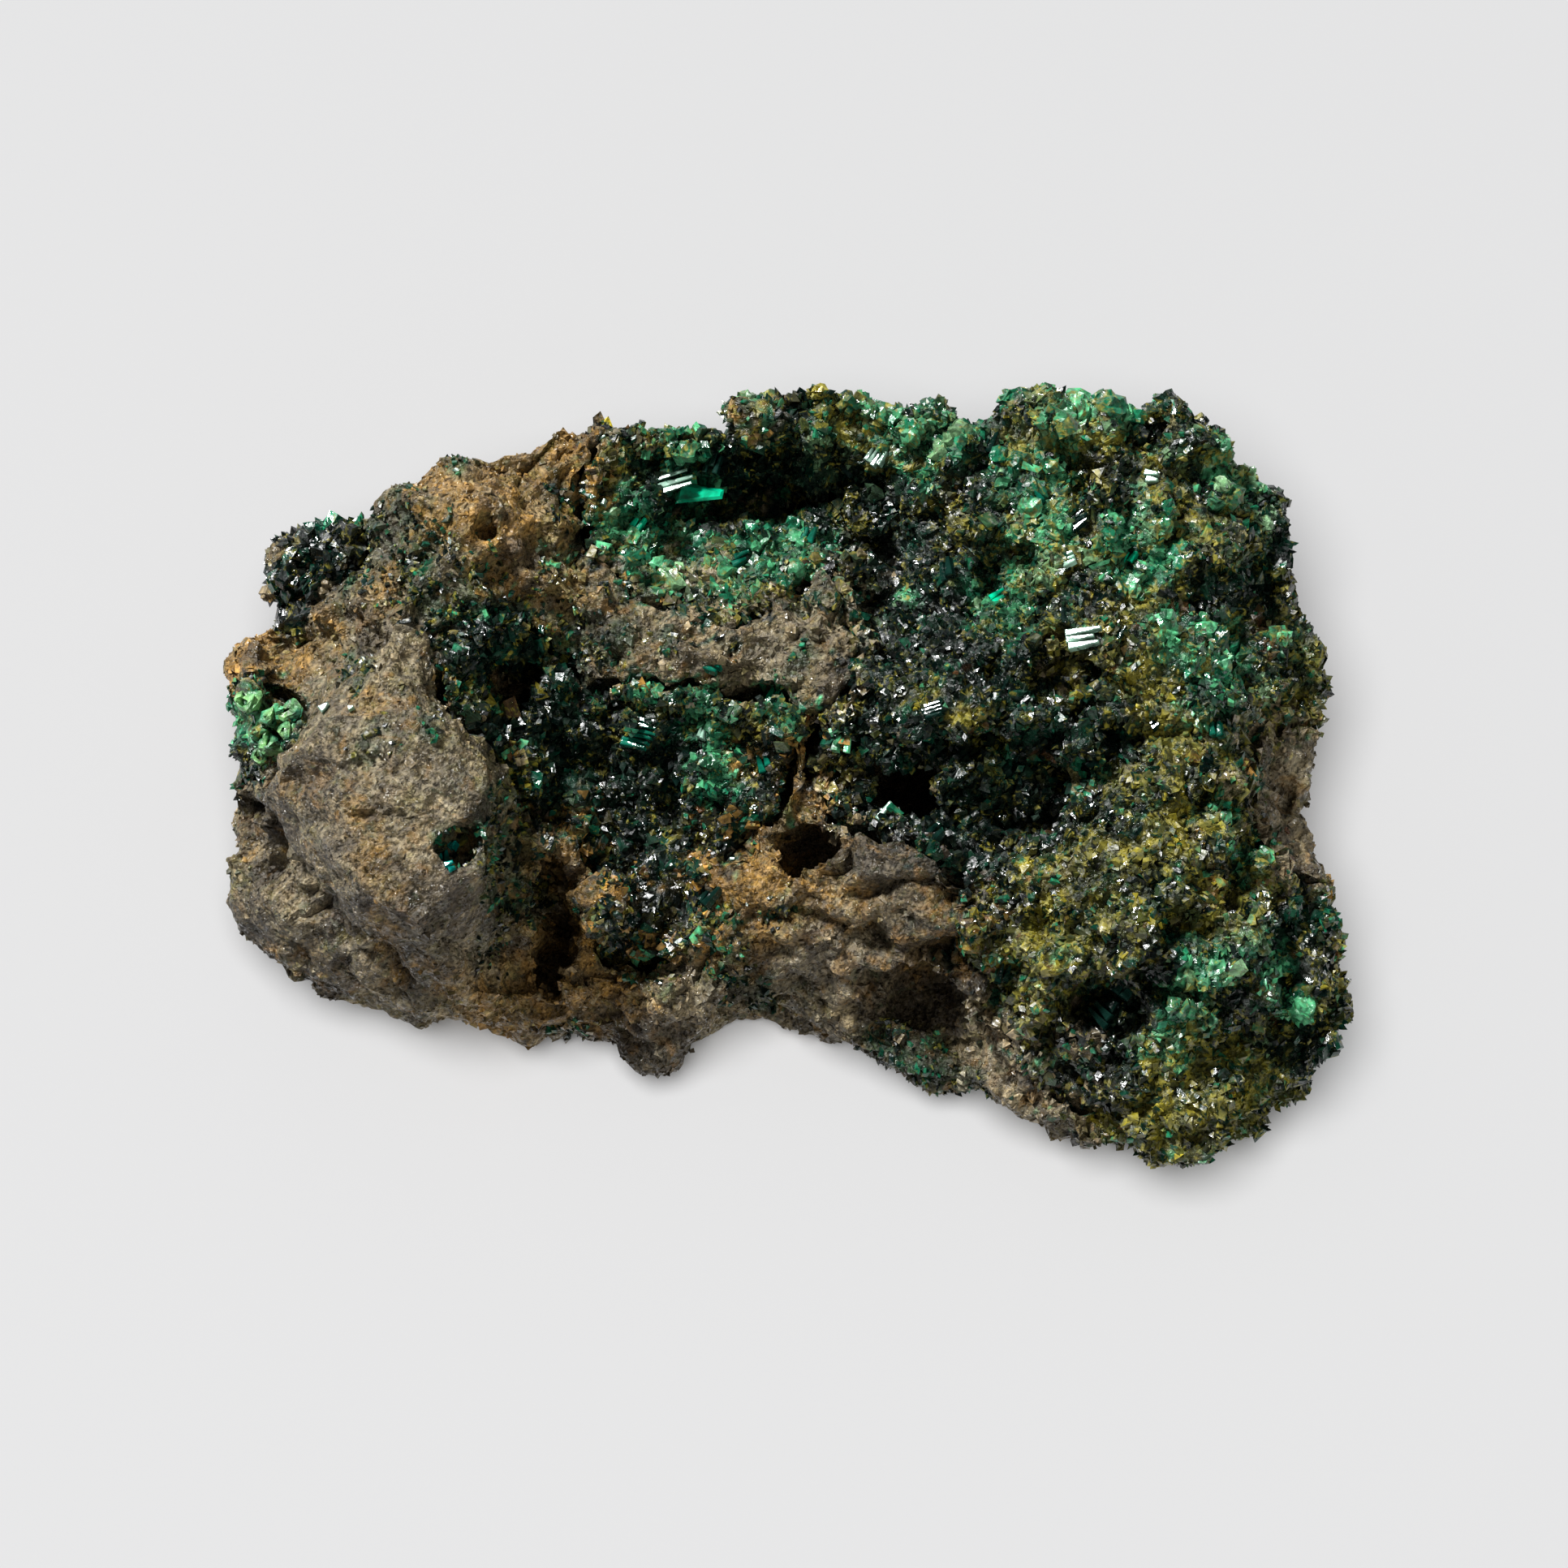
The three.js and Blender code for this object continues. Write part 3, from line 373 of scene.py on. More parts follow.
def pick_tones(places, odds, rng, loners=0.12, evenness=0.0):
    """A colour for each place. Most follow their clump, some go their own way, and evenness blends all."""
    shares = tone_shares(places, odds)
    chance = rng.random(len(places))
    number = np.where(chance < 0.7, clump_numbers(places, CLUMP), clump_numbers(places, SMALL_CLUMP))
    number = np.where(chance > 1 - loners, rng.random(len(places)), number)
    choice = (number[:, None] > np.cumsum(shares, axis=1)).sum(axis=1).clip(0, len(odds) - 1)
    tones = np.array([TONES[tone] for tone in odds])
    # Random brightness from place to place, times the painted shade that darkens the creases and lightens the
    # domes.
    spread_and_painted_shade = rng.lognormal(0, 0.28, (len(places), 1)) * painted_crease_shade(places)[:, None]
    return tones[choice] * spread_and_painted_shade * (1 - evenness) + shares @ tones * evenness


# %% [markdown]
# The rock's solid is coarse. A voxel remesh turns a copy of it into small even faces, and a sum of noises
# then pushes every vertex in or out: broad knobs, ridges, and the sugary grain of the broken surface. The
# creases, holes and bumps that stand out in the photo are cut along lines given in the picture. The copy is
# kept inside the solid's own box, and its flat base stays flat.

# %% Breaking the skin of a solid
def joined_copy(node_name, piece_name):
    """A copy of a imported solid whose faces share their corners."""
    shape = bmesh.new()
    shape.from_mesh(frame["nodes"][node_name].data)
    bmesh.ops.remove_doubles(shape, verts=shape.verts, dist=1e-6)
    mesh = bpy.data.meshes.new(piece_name)
    shape.to_mesh(mesh)
    shape.free()
    piece = bpy.data.objects.new(piece_name, mesh)
    bpy.context.scene.collection.objects.link(piece)
    return piece


def apply_modifiers(piece):
    graph = bpy.context.evaluated_depsgraph_get()
    made = bpy.data.meshes.new_from_object(piece.evaluated_get(graph))
    piece.modifiers.clear()
    piece.data = made


def remeshed(piece, voxel):
    """Gives a piece even square faces of one size."""
    remesh = piece.modifiers.new("voxels", "REMESH")
    remesh.mode = "VOXEL"
    remesh.voxel_size = voxel
    apply_modifiers(piece)


def vertex_arrays(mesh):
    """The places and the normals of a mesh's vertices."""
    places = np.empty(len(mesh.vertices) * 3, dtype=np.float32)
    mesh.vertices.foreach_get("co", places)
    normals = np.empty_like(places)
    mesh.vertices.foreach_get("normal", normals)
    return places.reshape(-1, 3), normals.reshape(-1, 3)


def move_vertices(mesh, places):
    """Moves the vertices to new places, but never out of the solids' box."""
    inside = np.clip(places, np.array(cad_box[0]), np.array(cad_box[1]))
    mesh.vertices.foreach_set("co", inside.astype(np.float32).ravel())
    mesh.update()


def swell(p, size, octaves=3):
    """Broad knobs and hollows, about from -1 to 1."""
    return noise.fractal(Vector(p) / size, 1, 2, octaves)


def dome(p, size):
    """Rounded clumps with sharp creases between them."""
    return 0.5 - noise.voronoi(Vector(p) / size)[0][0]


def pits(p, size):
    """1 in the middle of a scattered pit, falling to 0 at its edge."""
    return max(0, 1 - noise.voronoi(Vector(p) / size)[0][0] / 0.45)


def relief_shift(piece, relief, lift):
    """Where the vertices are, their normals, and how far a relief shifts each. The base stays flat."""
    places, normals = vertex_arrays(piece.data)
    above_base = np.clip(places[:, 2] / (1.5 * MM), 0, 1)
    shift = (np.array([relief(p) for p in places]) + lift) * MM * above_base
    return places, normals, shift


STRIKE = Vector((0.54, -0.61, -0.58))


def grooves(p, size):
    """Noise drawn out along the strike of the rock, which leaves long low ridges."""
    p = Vector(p)
    return noise.fractal((p - STRIKE * p.dot(STRIKE) * 0.9) / size, 1, 2, 3)


CREASES = [
    # a line in the picture, half its width, its depth
    ([(-30.8, -1.9), (-29.2, -4.6), (-27, -7.4), (-24.8, -9.6), (-22.4, -11.6)], 0.75, 1.6),
    ([(2.9, 2.2), (6, 0.9), (9, 0), (12.5, 0), (14.3, -1.1)], 1.25, 3),
    ([(-24.6, -1.8), (-23, -1.5), (-21.4, -2.2)], 0.3, 0.5),
    ([(-29.6, -0.3), (-27.5, 0.4), (-25, 1.3), (-22.2, 0.9)], 0.5, 0.5),
    ([(-19.2, -9.4), (-17, -10.3), (-15.2, -10)], 0.4, 0.7),
    ([(3.5, -6.6), (6.8, -5.8), (10.5, -6.4)], 0.5, 0.9),
    ([(1, -7.4), (3.4, -9), (6.4, -9.8)], 0.45, 0.8),
    ([(-6.6, -10.4), (-4, -10.8), (-1.6, -12)], 0.5, 0.8),
    ([(-13.6, -7.4), (-12.2, -8.6), (-10.2, -9)], 0.5, 0.9),
    ([(-25.8, 11), (-23.8, 8), (-23.4, 5)], 0.4, 0.5),
    ([(4.6, 17), (5.6, 13), (5.2, 8.6)], 1.1, 1.5),
    ([(8.5, 15.5), (11, 12.4), (10, 9.4)], 0.7, 1.4),
    ([(17.2, 17.5), (19.4, 16.2), (20.6, 13.6)], 0.7, 1.2),
    ([(17.5, 3.5), (20, 2.2), (23.5, 3)], 0.7, 1.3),
    ([(13, -6.5), (15.5, -8.5), (19, -9)], 0.6, 1),
    ([(17.5, -13), (20.6, -12), (24.5, -13.6)], 0.8, 1.3),
    ([(-18.4, -15.6), (-12.4, -15.6)], 1.6, 2), ([(-2.5, -13.7), (1, -13.2)], 1.5, 1.3),
]
HOLES = [
    ([(-17.1, 15)], 0.5, 1.1), ([(-14.6, 16.4)], 0.35, 0.8), ([(-12.5, 18.6)], 0.4, 0.9),
    ([(-10.4, 17)], 0.4, 0.9), ([(0.1, -3.1), (1.3, -4), (2.5, -4.7)], 1, 2.4), ([(-0.6, -8.2)], 0.5, 1),
    ([(-24.6, 6.8)], 0.4, 0.7), ([(-28, 8.6)], 0.6, 1), ([(8.2, -10.7)], 1.4, 1.6),
    ([(-4.2, -9.8)], 0.5, 1), ([(12, 20)], 0.8, 1.4), ([(14.9, 6.6)], 0.9, 1.6), ([(-1.5, 17.8)], 1, 1.4),
    ([(27.5, 12.5)], 0.9, 1.3), ([(19.7, 7.4)], 0.6, 1.1), ([(-14.8, 7)], 1, 1.4),
]
BUMPS = [
    ([(-12.6, -3.2), (-12.3, -4.8)], 1.1, -1.3), ([(-10.6, -6.6), (-10.2, -7.6)], 1.5, -1.5),
    ([(-31, 6.9)], 1.2, -0.8), ([(-14.4, -3.5), (-14, -8.5)], 1.0, -1.6), ([(-1.5, 21.6)], 1.2, -0.7),
    ([(-11.3, 20), (-11.2, 16), (-11, 12.8)], 0.7, -0.8), ([(-28.6, -11)], 1.2, -0.7),
]


def carved(places, normals):
    """How deep each place that faces the camera is cut, in metres. Below 0 it is a bump."""
    spots = wavering(places, 1.1, 0.7)
    depth = np.zeros(len(places))
    for line, width, deep in CREASES + HOLES + BUMPS:
        for start, end in zip(line, line[1:] or line):
            start, run = np.array(start), np.array(end) - np.array(start)
            along = np.clip((spots - start) @ run / max(run @ run, 1e-9), 0, 1)
            apart = np.linalg.norm(spots - start - along[:, None] * run, axis=1)
            cut = deep * np.exp(-(apart / width) ** 2)
            depth = np.where(np.abs(cut) > np.abs(depth), cut, depth)
    return depth * MM * np.clip(2.5 * normals @ np.array(backwards), 0, 1)


ROCK_VOXEL = 0.32 * MM
rock = joined_copy("matrix_rock", "rock")
remeshed(rock, ROCK_VOXEL)
places, normals, broken = relief_shift(
    rock,
    lambda p: (
        1.0 * swell(p, 4 * MM) + 0.7 * dome(p, 1.7 * MM) + 0.35 * dome(p, 0.7 * MM)
        - 1.3 * pits(p, 3.4 * MM) - 0.6 * pits(p, 1.5 * MM)
    ),
    lift=-0.3,
)
_, _, striped = relief_shift(
    rock, lambda p: 0.35 * grooves(p, 0.8 * MM) + 0.1 * swell(p, 0.6 * MM), lift=0.05
)
calm = patch_weights("smooth", places)
shift = broken * (1 - 0.65 * calm) + striped * patch_weights("striped", places) - carved(places, normals)
move_vertices(rock.data, places + normals * shift[:, None])
print("rock faces:", len(rock.data.polygons))

# %% [markdown]
# Under the crystals lies their bed, the crust itself. It is made in the same way from each crust's solid, and
# swells where it nears the rock, so that no gap shows between them. It is knobblier than the rock, because
# crystals grow in clumps with deep dark hollows between them.

# %% The crystal beds
BED_VOXEL = 0.36 * MM
BED_LIFT = -0.35
FAN_LIFT = -0.5
SEAM_LIFT = 0.8 * MM
SEAM_REACH = 1.3 * MM
CRUSTS = ("main_druse", "central_druse", "back_spray", "edge_rosettes")


def surface_tree(*pieces):
    """The triangles of some pieces, ready for rays and for finding the nearest place."""
    corners, faces = [], []
    for piece in pieces:
        piece.data.calc_loop_triangles()
        first = len(corners)
        corners += [v.co for v in piece.data.vertices]
        faces += [[first + index for index in t.vertices] for t in piece.data.loop_triangles]
    return BVHTree.FromPolygons(corners, faces)


def nearness(places, tree, reach):
    """1 where the other surface touches, falling to 0 at the reach."""
    apart = np.array([tree.find_nearest(Vector(p))[3] for p in places])
    return np.clip(1 - apart / reach, 0, 1)


rock_tree = surface_tree(rock)


def knobbly(p):
    """Broad swells, domes with creases between them, smaller domes, and scattered pits."""
    return 1.2 * swell(p, 3.6 * MM) + 1.2 * dome(p, DOME) + 0.4 * dome(p, 0.8 * MM) - 1.6 * pits(p, 3.2 * MM)


def crystal_bed(node_name):
    """The bed of one crust."""
    bed = joined_copy(node_name, node_name + "_bed")
    remeshed(bed, BED_VOXEL)
    lift = FAN_LIFT if node_name == "back_spray" else BED_LIFT
    places, normals, shift = relief_shift(bed, knobbly, lift)
    shift += SEAM_LIFT * nearness(places, rock_tree, SEAM_REACH) - carved(places, normals)
    move_vertices(bed.data, places + normals * shift[:, None])
    print(bed.name, "faces:", len(bed.data.polygons))
    return bed


beds = {name: crystal_bed(name) for name in CRUSTS}

# %% [markdown]
# Four small shapes are repeated by the thousand. A brochantite crystal is a short flattened prism with a
# sloping end, made from a four-sided cone of equal radii. A grain is a three-sided stub, and a sugar grain a
# four-sided one. A lump is a small uneven ball, for the milky jade. Few faces each keep the whole specimen
# light, and their flat faces are what glitters.

# %% A crystal, two grains and a lump
def small_shape(sides, flatness, slope, narrowing):
    """A prism of length 1 and width 1 that stands on the origin, as its corners and its triangles."""
    shape = bmesh.new()
    bmesh.ops.create_cone(shape, cap_ends=True, segments=sides, radius1=0.5, radius2=0.5, depth=1)
    bmesh.ops.translate(shape, verts=shape.verts, vec=(0, 0, 0.5))
    top = [v for v in shape.verts if v.co.z > 0.5]
    bmesh.ops.scale(shape, verts=top, vec=(1 - narrowing, 1 - narrowing, 1))
    for vertex in top:
        vertex.co.z += slope * vertex.co.x
    bmesh.ops.scale(shape, verts=shape.verts, vec=(1, flatness, 1))
    bmesh.ops.triangulate(shape, faces=shape.faces)
    corners = np.array([v.co for v in shape.verts])
    faces = np.array([[v.index for v in f.verts] for f in shape.faces])
    shape.free()
    return corners, faces


def lump_shape():
    """An uneven ball of size 1 that stands on the origin, as its corners and its triangles."""
    shape = bmesh.new()
    bmesh.ops.create_icosphere(shape, subdivisions=2, radius=0.5)
    bmesh.ops.translate(shape, verts=shape.verts, vec=(0, 0, 0.5))
    for vertex in shape.verts:
        vertex.co *= 0.9 + 0.5 * noise.noise(vertex.co * 3.5)
    corners = np.array([v.co for v in shape.verts])
    faces = np.array([[v.index for v in f.verts] for f in shape.faces])
    shape.free()
    return corners, faces


CRYSTAL = small_shape(sides=4, flatness=0.7, slope=0.5, narrowing=0.15)
GRAIN = small_shape(sides=3, flatness=1.0, slope=0.35, narrowing=0.2)
SUGAR = small_shape(sides=4, flatness=1.0, slope=0.3, narrowing=0.2)
LUMP = lump_shape()
print("faces of the four shapes:", [len(shape[1]) for shape in (CRYSTAL, GRAIN, SUGAR, LUMP)])

# %% [markdown]
# The crystals stand on the faces of their bed that can be seen: a short ray from the face must not strike the
# rock. Neighbours lean the same way, because a slow noise steers them, and that makes the sprays and bundles
# of the real crust.

# %% Scattering small shapes
def store_tint(mesh, colours):
    """Keeps a colour for each vertex, which the finishes read."""
    layer = mesh.color_attributes.new("tint", "FLOAT_COLOR", "POINT")
    with_alpha = np.concatenate([colours, np.ones((len(colours), 1))], axis=1)
    layer.data.foreach_set("color", with_alpha.astype(np.float32).ravel())


def scattered(piece, count, rng):
    """Random places on a piece, evenly by area, with the normals there."""
    mesh = piece.data
    mesh.calc_loop_triangles()
    corners, _ = vertex_arrays(mesh)
    index = np.empty(len(mesh.loop_triangles) * 3, dtype=np.int32)
    mesh.loop_triangles.foreach_get("vertices", index)
    a, b, c = (corners[index.reshape(-1, 3)[:, k]] for k in range(3))
    cross = np.cross(b - a, c - a)
    area = np.linalg.norm(cross, axis=1)
    chosen = rng.choice(len(area), size=count, p=area / area.sum())
    u, v = rng.random(count), rng.random(count)
    flip = u + v > 1
    u[flip], v[flip] = 1 - u[flip], 1 - v[flip]
    places = a[chosen] + u[:, None] * (b - a)[chosen] + v[:, None] * (c - a)[chosen]
    return places, cross[chosen] / area[chosen][:, None]


def in_the_open(places, normals, trees, reach):
    """Which of the places have nothing in front of them."""
    found = []
    for place, normal in zip(places, normals):
        start = Vector(place) + Vector(normal) * 0.06 * MM
        found.append(not any(tree.ray_cast(start, Vector(normal), reach)[0] for tree in trees))
    return np.array(found)


def turned(directions, spins):
    """A rotation matrix for each crystal: Z along its direction, then spun about it."""
    helper = np.where(np.abs(directions[:, 2:]) < 0.9, [[0.0, 0.0, 1.0]], [[1.0, 0.0, 0.0]])
    x = np.cross(helper, directions)
    x /= np.linalg.norm(x, axis=1)[:, None]
    y = np.cross(directions, x)
    cos, sin = np.cos(spins)[:, None], np.sin(spins)[:, None]
    return np.stack([x * cos + y * sin, y * cos - x * sin, directions], axis=2)


def store_dust(mesh, places):
    """How much yellow dust lies at each vertex: some everywhere, and most in the mustard patches."""
    amount = 0.35 + 0.45 * patch_weights("mustard", places) - 0.4 * patch_weights("black", places)
    layer = mesh.attributes.new("dust", "FLOAT", "POINT")
    layer.data.foreach_set("value", amount.clip(0, 1).astype(np.float32))


def joined_copies(name, shape, places, directions, spins, lengths, widths, colours):
    """One mesh of many copies of a small shape, each with a colour of its own."""
    corners, faces = shape
    sizes = np.stack([widths, widths, lengths], axis=1)
    shaped = corners[None] * sizes[:, None, :]
    shaped = np.einsum("kij,kvj->kvi", turned(directions, spins), shaped) + places[:, None, :]
    count = len(places)
    index = (faces[None] + (np.arange(count) * len(corners))[:, None, None]).reshape(-1, 3)
    mesh = bpy.data.meshes.new(name)
    mesh.from_pydata(shaped.reshape(-1, 3), [], index)
    store_tint(mesh, np.repeat(colours, len(corners), axis=0))
    store_dust(mesh, np.repeat(places, len(corners), axis=0))
    move_vertices(mesh, shaped.reshape(-1, 3))
    piece = bpy.data.objects.new(name, mesh)
    bpy.context.scene.collection.objects.link(piece)
    print(name, count, "copies,", len(index), "faces")
    return piece


# %% [markdown]
# Each bed gets a cover of fine grains that lie every way, and above it the larger crystals in their bundles.
# The rock gets grains too, and a sprinkling of green crystals where the patches say so. Near the edge of a
# crust both tables of tones mix, so that no line shows between rock and crust.

# %% Covering the surfaces
OPEN_REACH = 0.9 * MM
MIX_REACH = 1.5 * MM
MOST_MIXED = 0.75


def surface_tones(places, odds, other_odds, other_tree, rng, evenness=0.4):
    """Tones from a surface's own table, mixed with those of the other surface where that is near."""
    share = MOST_MIXED * nearness(places, other_tree, MIX_REACH)
    own, other = pick_tones(places, odds, rng, 0.06, evenness), pick_tones(places, other_odds, rng)
    return np.where((rng.random(len(places)) < share)[:, None], other, own)


def grains_on(piece, name, shape, count, size, seed, odds, other_odds, other_tree, blockers=()):
    """Grains that lie every way, fewer where the rock is smooth, and none where a blocker covers them."""
    rng = np.random.default_rng(seed)
    places, normals = scattered(piece, count, rng)
    seen = in_the_open(places, normals, blockers, OPEN_REACH) & (places[:, 2] > 0.6 * MM)
    seen &= rng.random(count) > 0.8 * patch_weights("smooth", places)
    places, normals = places[seen], normals[seen]
    directions = normals + rng.normal(0, 0.55, normals.shape)
    directions /= np.linalg.norm(directions, axis=1)[:, None]
    lengths = size * rng.lognormal(0, 0.3, len(places))
    widths = lengths * rng.uniform(0.8, 1.4, len(places))
    colours = surface_tones(places, odds, other_odds, other_tree, rng)
    roots = places - directions * lengths[:, None] * 0.75
    spins = rng.uniform(0, 6.3, len(places))
    return joined_copies(name, shape, roots, directions, spins, lengths, widths, colours)


def crystals_on(bed, name, count, length, seed, odds, blocker, only_in=None, lean=1.4):
    """Crystals that lean with their neighbours, everywhere or only in the patches of one name."""
    rng = np.random.default_rng(seed)
    places, normals = scattered(bed, count, rng)
    if only_in:
        kept = rng.random(count) < patch_weights(only_in, places)
        places, normals = places[kept], normals[kept]
    seen = in_the_open(places, normals, [blocker], OPEN_REACH)
    places, normals = places[seen], normals[seen]
    steer = np.array([noise.noise_vector(Vector(p) / (1.8 * MM) + Vector((seed, 0, 0))) for p in places])
    directions = normals + lean * steer + rng.normal(0, 0.2, normals.shape)
    directions /= np.linalg.norm(directions, axis=1)[:, None]
    spins = 2.5 * steer[:, 0] + rng.normal(0, 0.3, len(places))
    lengths = length * rng.lognormal(0, 0.3, len(places)).clip(0.4, 1.35)
    widths = lengths * rng.uniform(0.4, 0.8, len(places))
    colours = pick_tones(places, odds, rng)
    roots = places - directions * lengths[:, None] * 0.7
    return joined_copies(name, CRYSTAL, roots, directions, spins, lengths, widths, colours)


def lumps_on(bed, name, count, size, seed, odds, only_in):
    """Rounded milky clumps, only where the patches say so."""
    rng = np.random.default_rng(seed)
    places, normals = scattered(bed, count, rng)
    kept = rng.random(count) < patch_weights(only_in, places) - 0.3
    kept &= in_the_open(places, normals, [rock_tree], MM)
    places, normals = places[kept], normals[kept]
    lengths = size * rng.lognormal(0, 0.3, len(places))
    widths = lengths * rng.uniform(0.8, 1.2, len(places))
    colours = pick_tones(places, odds, rng)
    spins = rng.uniform(0, 6.3, len(places))
    roots = places - normals * lengths[:, None] * 0.5
    return joined_copies(name, LUMP, roots, normals, spins, lengths, widths, colours)


MILKY_ODDS = {"teal": (0.45, "jade", 0), "jade": (0.4, "jade", 0.6), "sage": (0.1, "sage", 0.8)}
SPRAY_ODDS = {"black_green": (0.6, "black", 0), "deep_green": (0.35, "black", 0), "teal": (0.08, "jade", 0)}
GLASSY_ODDS = {tone: CRUST_ODDS[tone] for tone in ("black_green", "deep_green", "teal", "jade")}
bed_tree = surface_tree(*beds.values())
main, central, spray = beds["main_druse"], beds["central_druse"], beds["back_spray"]
crystals = {
    "matrix_rock": [
        grains_on(rock, "rock_grains", GRAIN, 19000, 0.32 * MM, 11, ROCK_ODDS, CRUST_ODDS, bed_tree),
        crystals_on(rock, "sprinkled_crystals", 36000, 0.55 * MM, 13, GLASSY_ODDS, bed_tree, only_in="green"),
    ],
    "main_druse": [
        grains_on(
            main, "main_grains", GRAIN, 27500, 0.4 * MM, 1,
            CRUST_ODDS, ROCK_ODDS, rock_tree, [rock_tree],
        ),
        crystals_on(main, "main_crystals", 14000, 0.75 * MM, 2, GLASSY_ODDS, rock_tree),
        lumps_on(main, "main_lumps", 4200, 0.95 * MM, 7, MILKY_ODDS, "jade"),
    ],
    "central_druse": [
        grains_on(
            central, "central_grains", GRAIN, 7000, 0.42 * MM, 3,
            CRUST_ODDS, ROCK_ODDS, rock_tree, [rock_tree],
        ),
        crystals_on(central, "central_crystals", 4500, 0.75 * MM, 4, GLASSY_ODDS, rock_tree),
    ],
    "back_spray": [
        crystals_on(
            spray, "back_crystals", 2600, 1.2 * MM, 5, SPRAY_ODDS, rock_tree, only_in="fan", lean=0.7
        ),
        grains_on(spray, "back_grains", SUGAR, 1500, 0.35 * MM, 8, ROCK_ODDS, ROCK_ODDS, rock_tree),
    ],
    "edge_rosettes": [
        crystals_on(beds["edge_rosettes"], "rosette_crystals", 700, 0.5 * MM, 6, GLASSY_ODDS, rock_tree),
    ],
}

# %% [markdown]
# Some crystals are large enough to see one by one, and a few of them stand just so that they mirror the lamp
# to the camera. Each bundle is a row of narrow blades. A line of sight finds where it stands, and a bundle in
# a shadow is raised along that line, by a millimetre at most, until the lamp reaches it. Its broad faces are
# turned half-way between the lamp and the camera. A bundle that is turned away from there by a few degrees
# catches less light, and a bundle with a least height starts well clear of its deep hollow.

# %% The large crystals
CLEAR_TONES = {
    "dark": (0.004, 0.02, 0.015),
    "green": (0.004, 0.13, 0.08),
    "emerald": (0.002, 0.55, 0.28),
    # pale is a painted highlight: a whitish base colour for the blades that flash, added to the lamp they
    # really mirror.
    "pale": (0.25, 0.42, 0.32),
    "teal": (0.002, 0.32, 0.27),
}
CLEARANCE = 0.5
MOST_RAISED = 1
BUNDLES = [
    # right, up, length, width of a blade, blades, angle in the picture, turned away by, tone, least height
    (-6.4, 17.2, 2.4, 0.42, 3, 12, 0, "pale", 2.2), (-4.7, 16.3, 2.7, 1.5, 1, -8, 10, "emerald", 3.6),
    (5.3, 18.7, 1.2, 0.28, 4, 60, 2, "pale"), (17.1, 15.2, 1.1, 0.3, 3, 35, 1, "dark"),
    (16.5, 12.9, 0.9, 0.3, 3, 20, 2, "pale"), (17.3, 8.3, 2, 0.42, 3, 3, 0, "pale"),
    (19.3, 8.7, 1.5, 0.25, 3, 62, 2, "dark"), (8.7, 4.2, 1.1, 0.22, 4, 12, 0, "dark"),
    (5.9, -1.6, 1.3, 0.4, 1, 55, 0, "pale"), (-8.2, 2.8, 1.9, 0.32, 6, -20, 1.5, "green"),
    (-4.7, 2.8, 0.6, 0.25, 2, 80, 0, "pale"), (21.3, 17.6, 0.9, 0.4, 2, -15, 0, "pale"),
    (-26.3, 4.4, 0.8, 0.5, 1, 40, 0, "pale"), (-24.9, 4.3, 0.4, 0.3, 1, 10, 0, "pale"),
    (-11.5, 17.3, 0.5, 0.3, 1, 10, 0, "pale"), (-10.4, 16, 0.5, 0.3, 1, 70, 0, "pale"),
    (-10.4, 19.9, 0.4, 0.25, 1, 30, 0, "pale"), (-3.9, 18.4, 1.4, 0.35, 3, 75, 10, "dark"),
    (-2.4, 18.1, 1.3, 0.35, 3, 95, 9, "dark"), (2.4, 2.4, 0.7, 0.3, 1, 40, 0, "pale"),
    (14.6, -1.8, 0.5, 0.3, 2, 30, 0, "pale"), (21.4, 3.4, 0.6, 0.3, 2, 30, 1, "dark"),
    (-3, -4.4, 0.4, 0.25, 1, 0, 0, "pale"), (19.8, -11.4, 1.9, 0.6, 2, 60, 22, "dark"),
    (18.4, -13.2, 1.8, 0.5, 2, 130, 26, "dark"), (12.6, -11, 1.2, 0.4, 2, 80, 22, "dark"),
    (8.8, -3, 1.2, 0.5, 2, 45, 24, "dark"), (12.1, 19.7, 1.3, 0.5, 2, 70, 24, "dark"),
    (9.5, 12.2, 1.4, 0.5, 2, 100, 24, "dark"), (-4.2, -6.6, 1.3, 0.5, 2, 50, 24, "dark"),
    (-7.3, 5.7, 1.3, 0.35, 3, 60, 8, "green"), (-4.1, 6.6, 1.1, 0.4, 2, -30, 10, "green"),
    (-0.4, 5.2, 1.2, 0.4, 2, 70, 12, "emerald"), (-1.2, 1.2, 1.2, 0.4, 2, 110, 10, "green"),
    (-19.6, -4.2, 0.7, 0.35, 2, 100, 8, "teal"), (-19, -3.5, 0.6, 0.3, 2, 60, 12, "teal"),
    (-19.2, -4.8, 0.5, 0.3, 2, 20, 6, "teal"), (12.4, 10.6, 1, 0.4, 2, 30, 12, "emerald"),
    (14.6, 16.2, 0.9, 0.4, 2, 120, 12, "green"), (20, 13, 0.9, 0.4, 2, 60, 12, "emerald"),
    (-8.5, 14.8, 1.1, 0.4, 2, 60, 12, "emerald"), (-2.5, 12.8, 1, 0.4, 2, 20, 12, "green"),
    (1.4, 14.2, 1.2, 0.45, 2, 70, 12, "green"), (25, 3, 0.9, 0.4, 2, 100, 12, "green"),
    (18.8, -11.7, 0.9, 0.8, 1, 40, 7, "dark"), (18.8, -12.9, 0.8, 0.8, 1, 45, 6, "dark"),
]


def first_seen(x, up):
    """The nearest surface behind a place in the picture."""
    hits = [tree.ray_cast(camera.location, line_of_sight(x, up)) for tree in (rock_tree, bed_tree)]
    return min((hit for hit in hits if hit[0]), key=lambda hit: hit[3])[0]


def first_lit(x, up, lowest):
    """A place on the line of sight that the lamp reaches, and its height over the surface in millimetres."""
    ground, sight = first_seen(x, up), line_of_sight(x, up)
    for height in np.arange(lowest, lowest + MOST_RAISED, 0.2):
        place = ground - sight * (height + CLEARANCE) * MM
        if not any(tree.ray_cast(place, (KEY - place).normalized())[0] for tree in (rock_tree, bed_tree)):
            return ground - sight * height * MM, height
    return ground - sight * lowest * MM, lowest


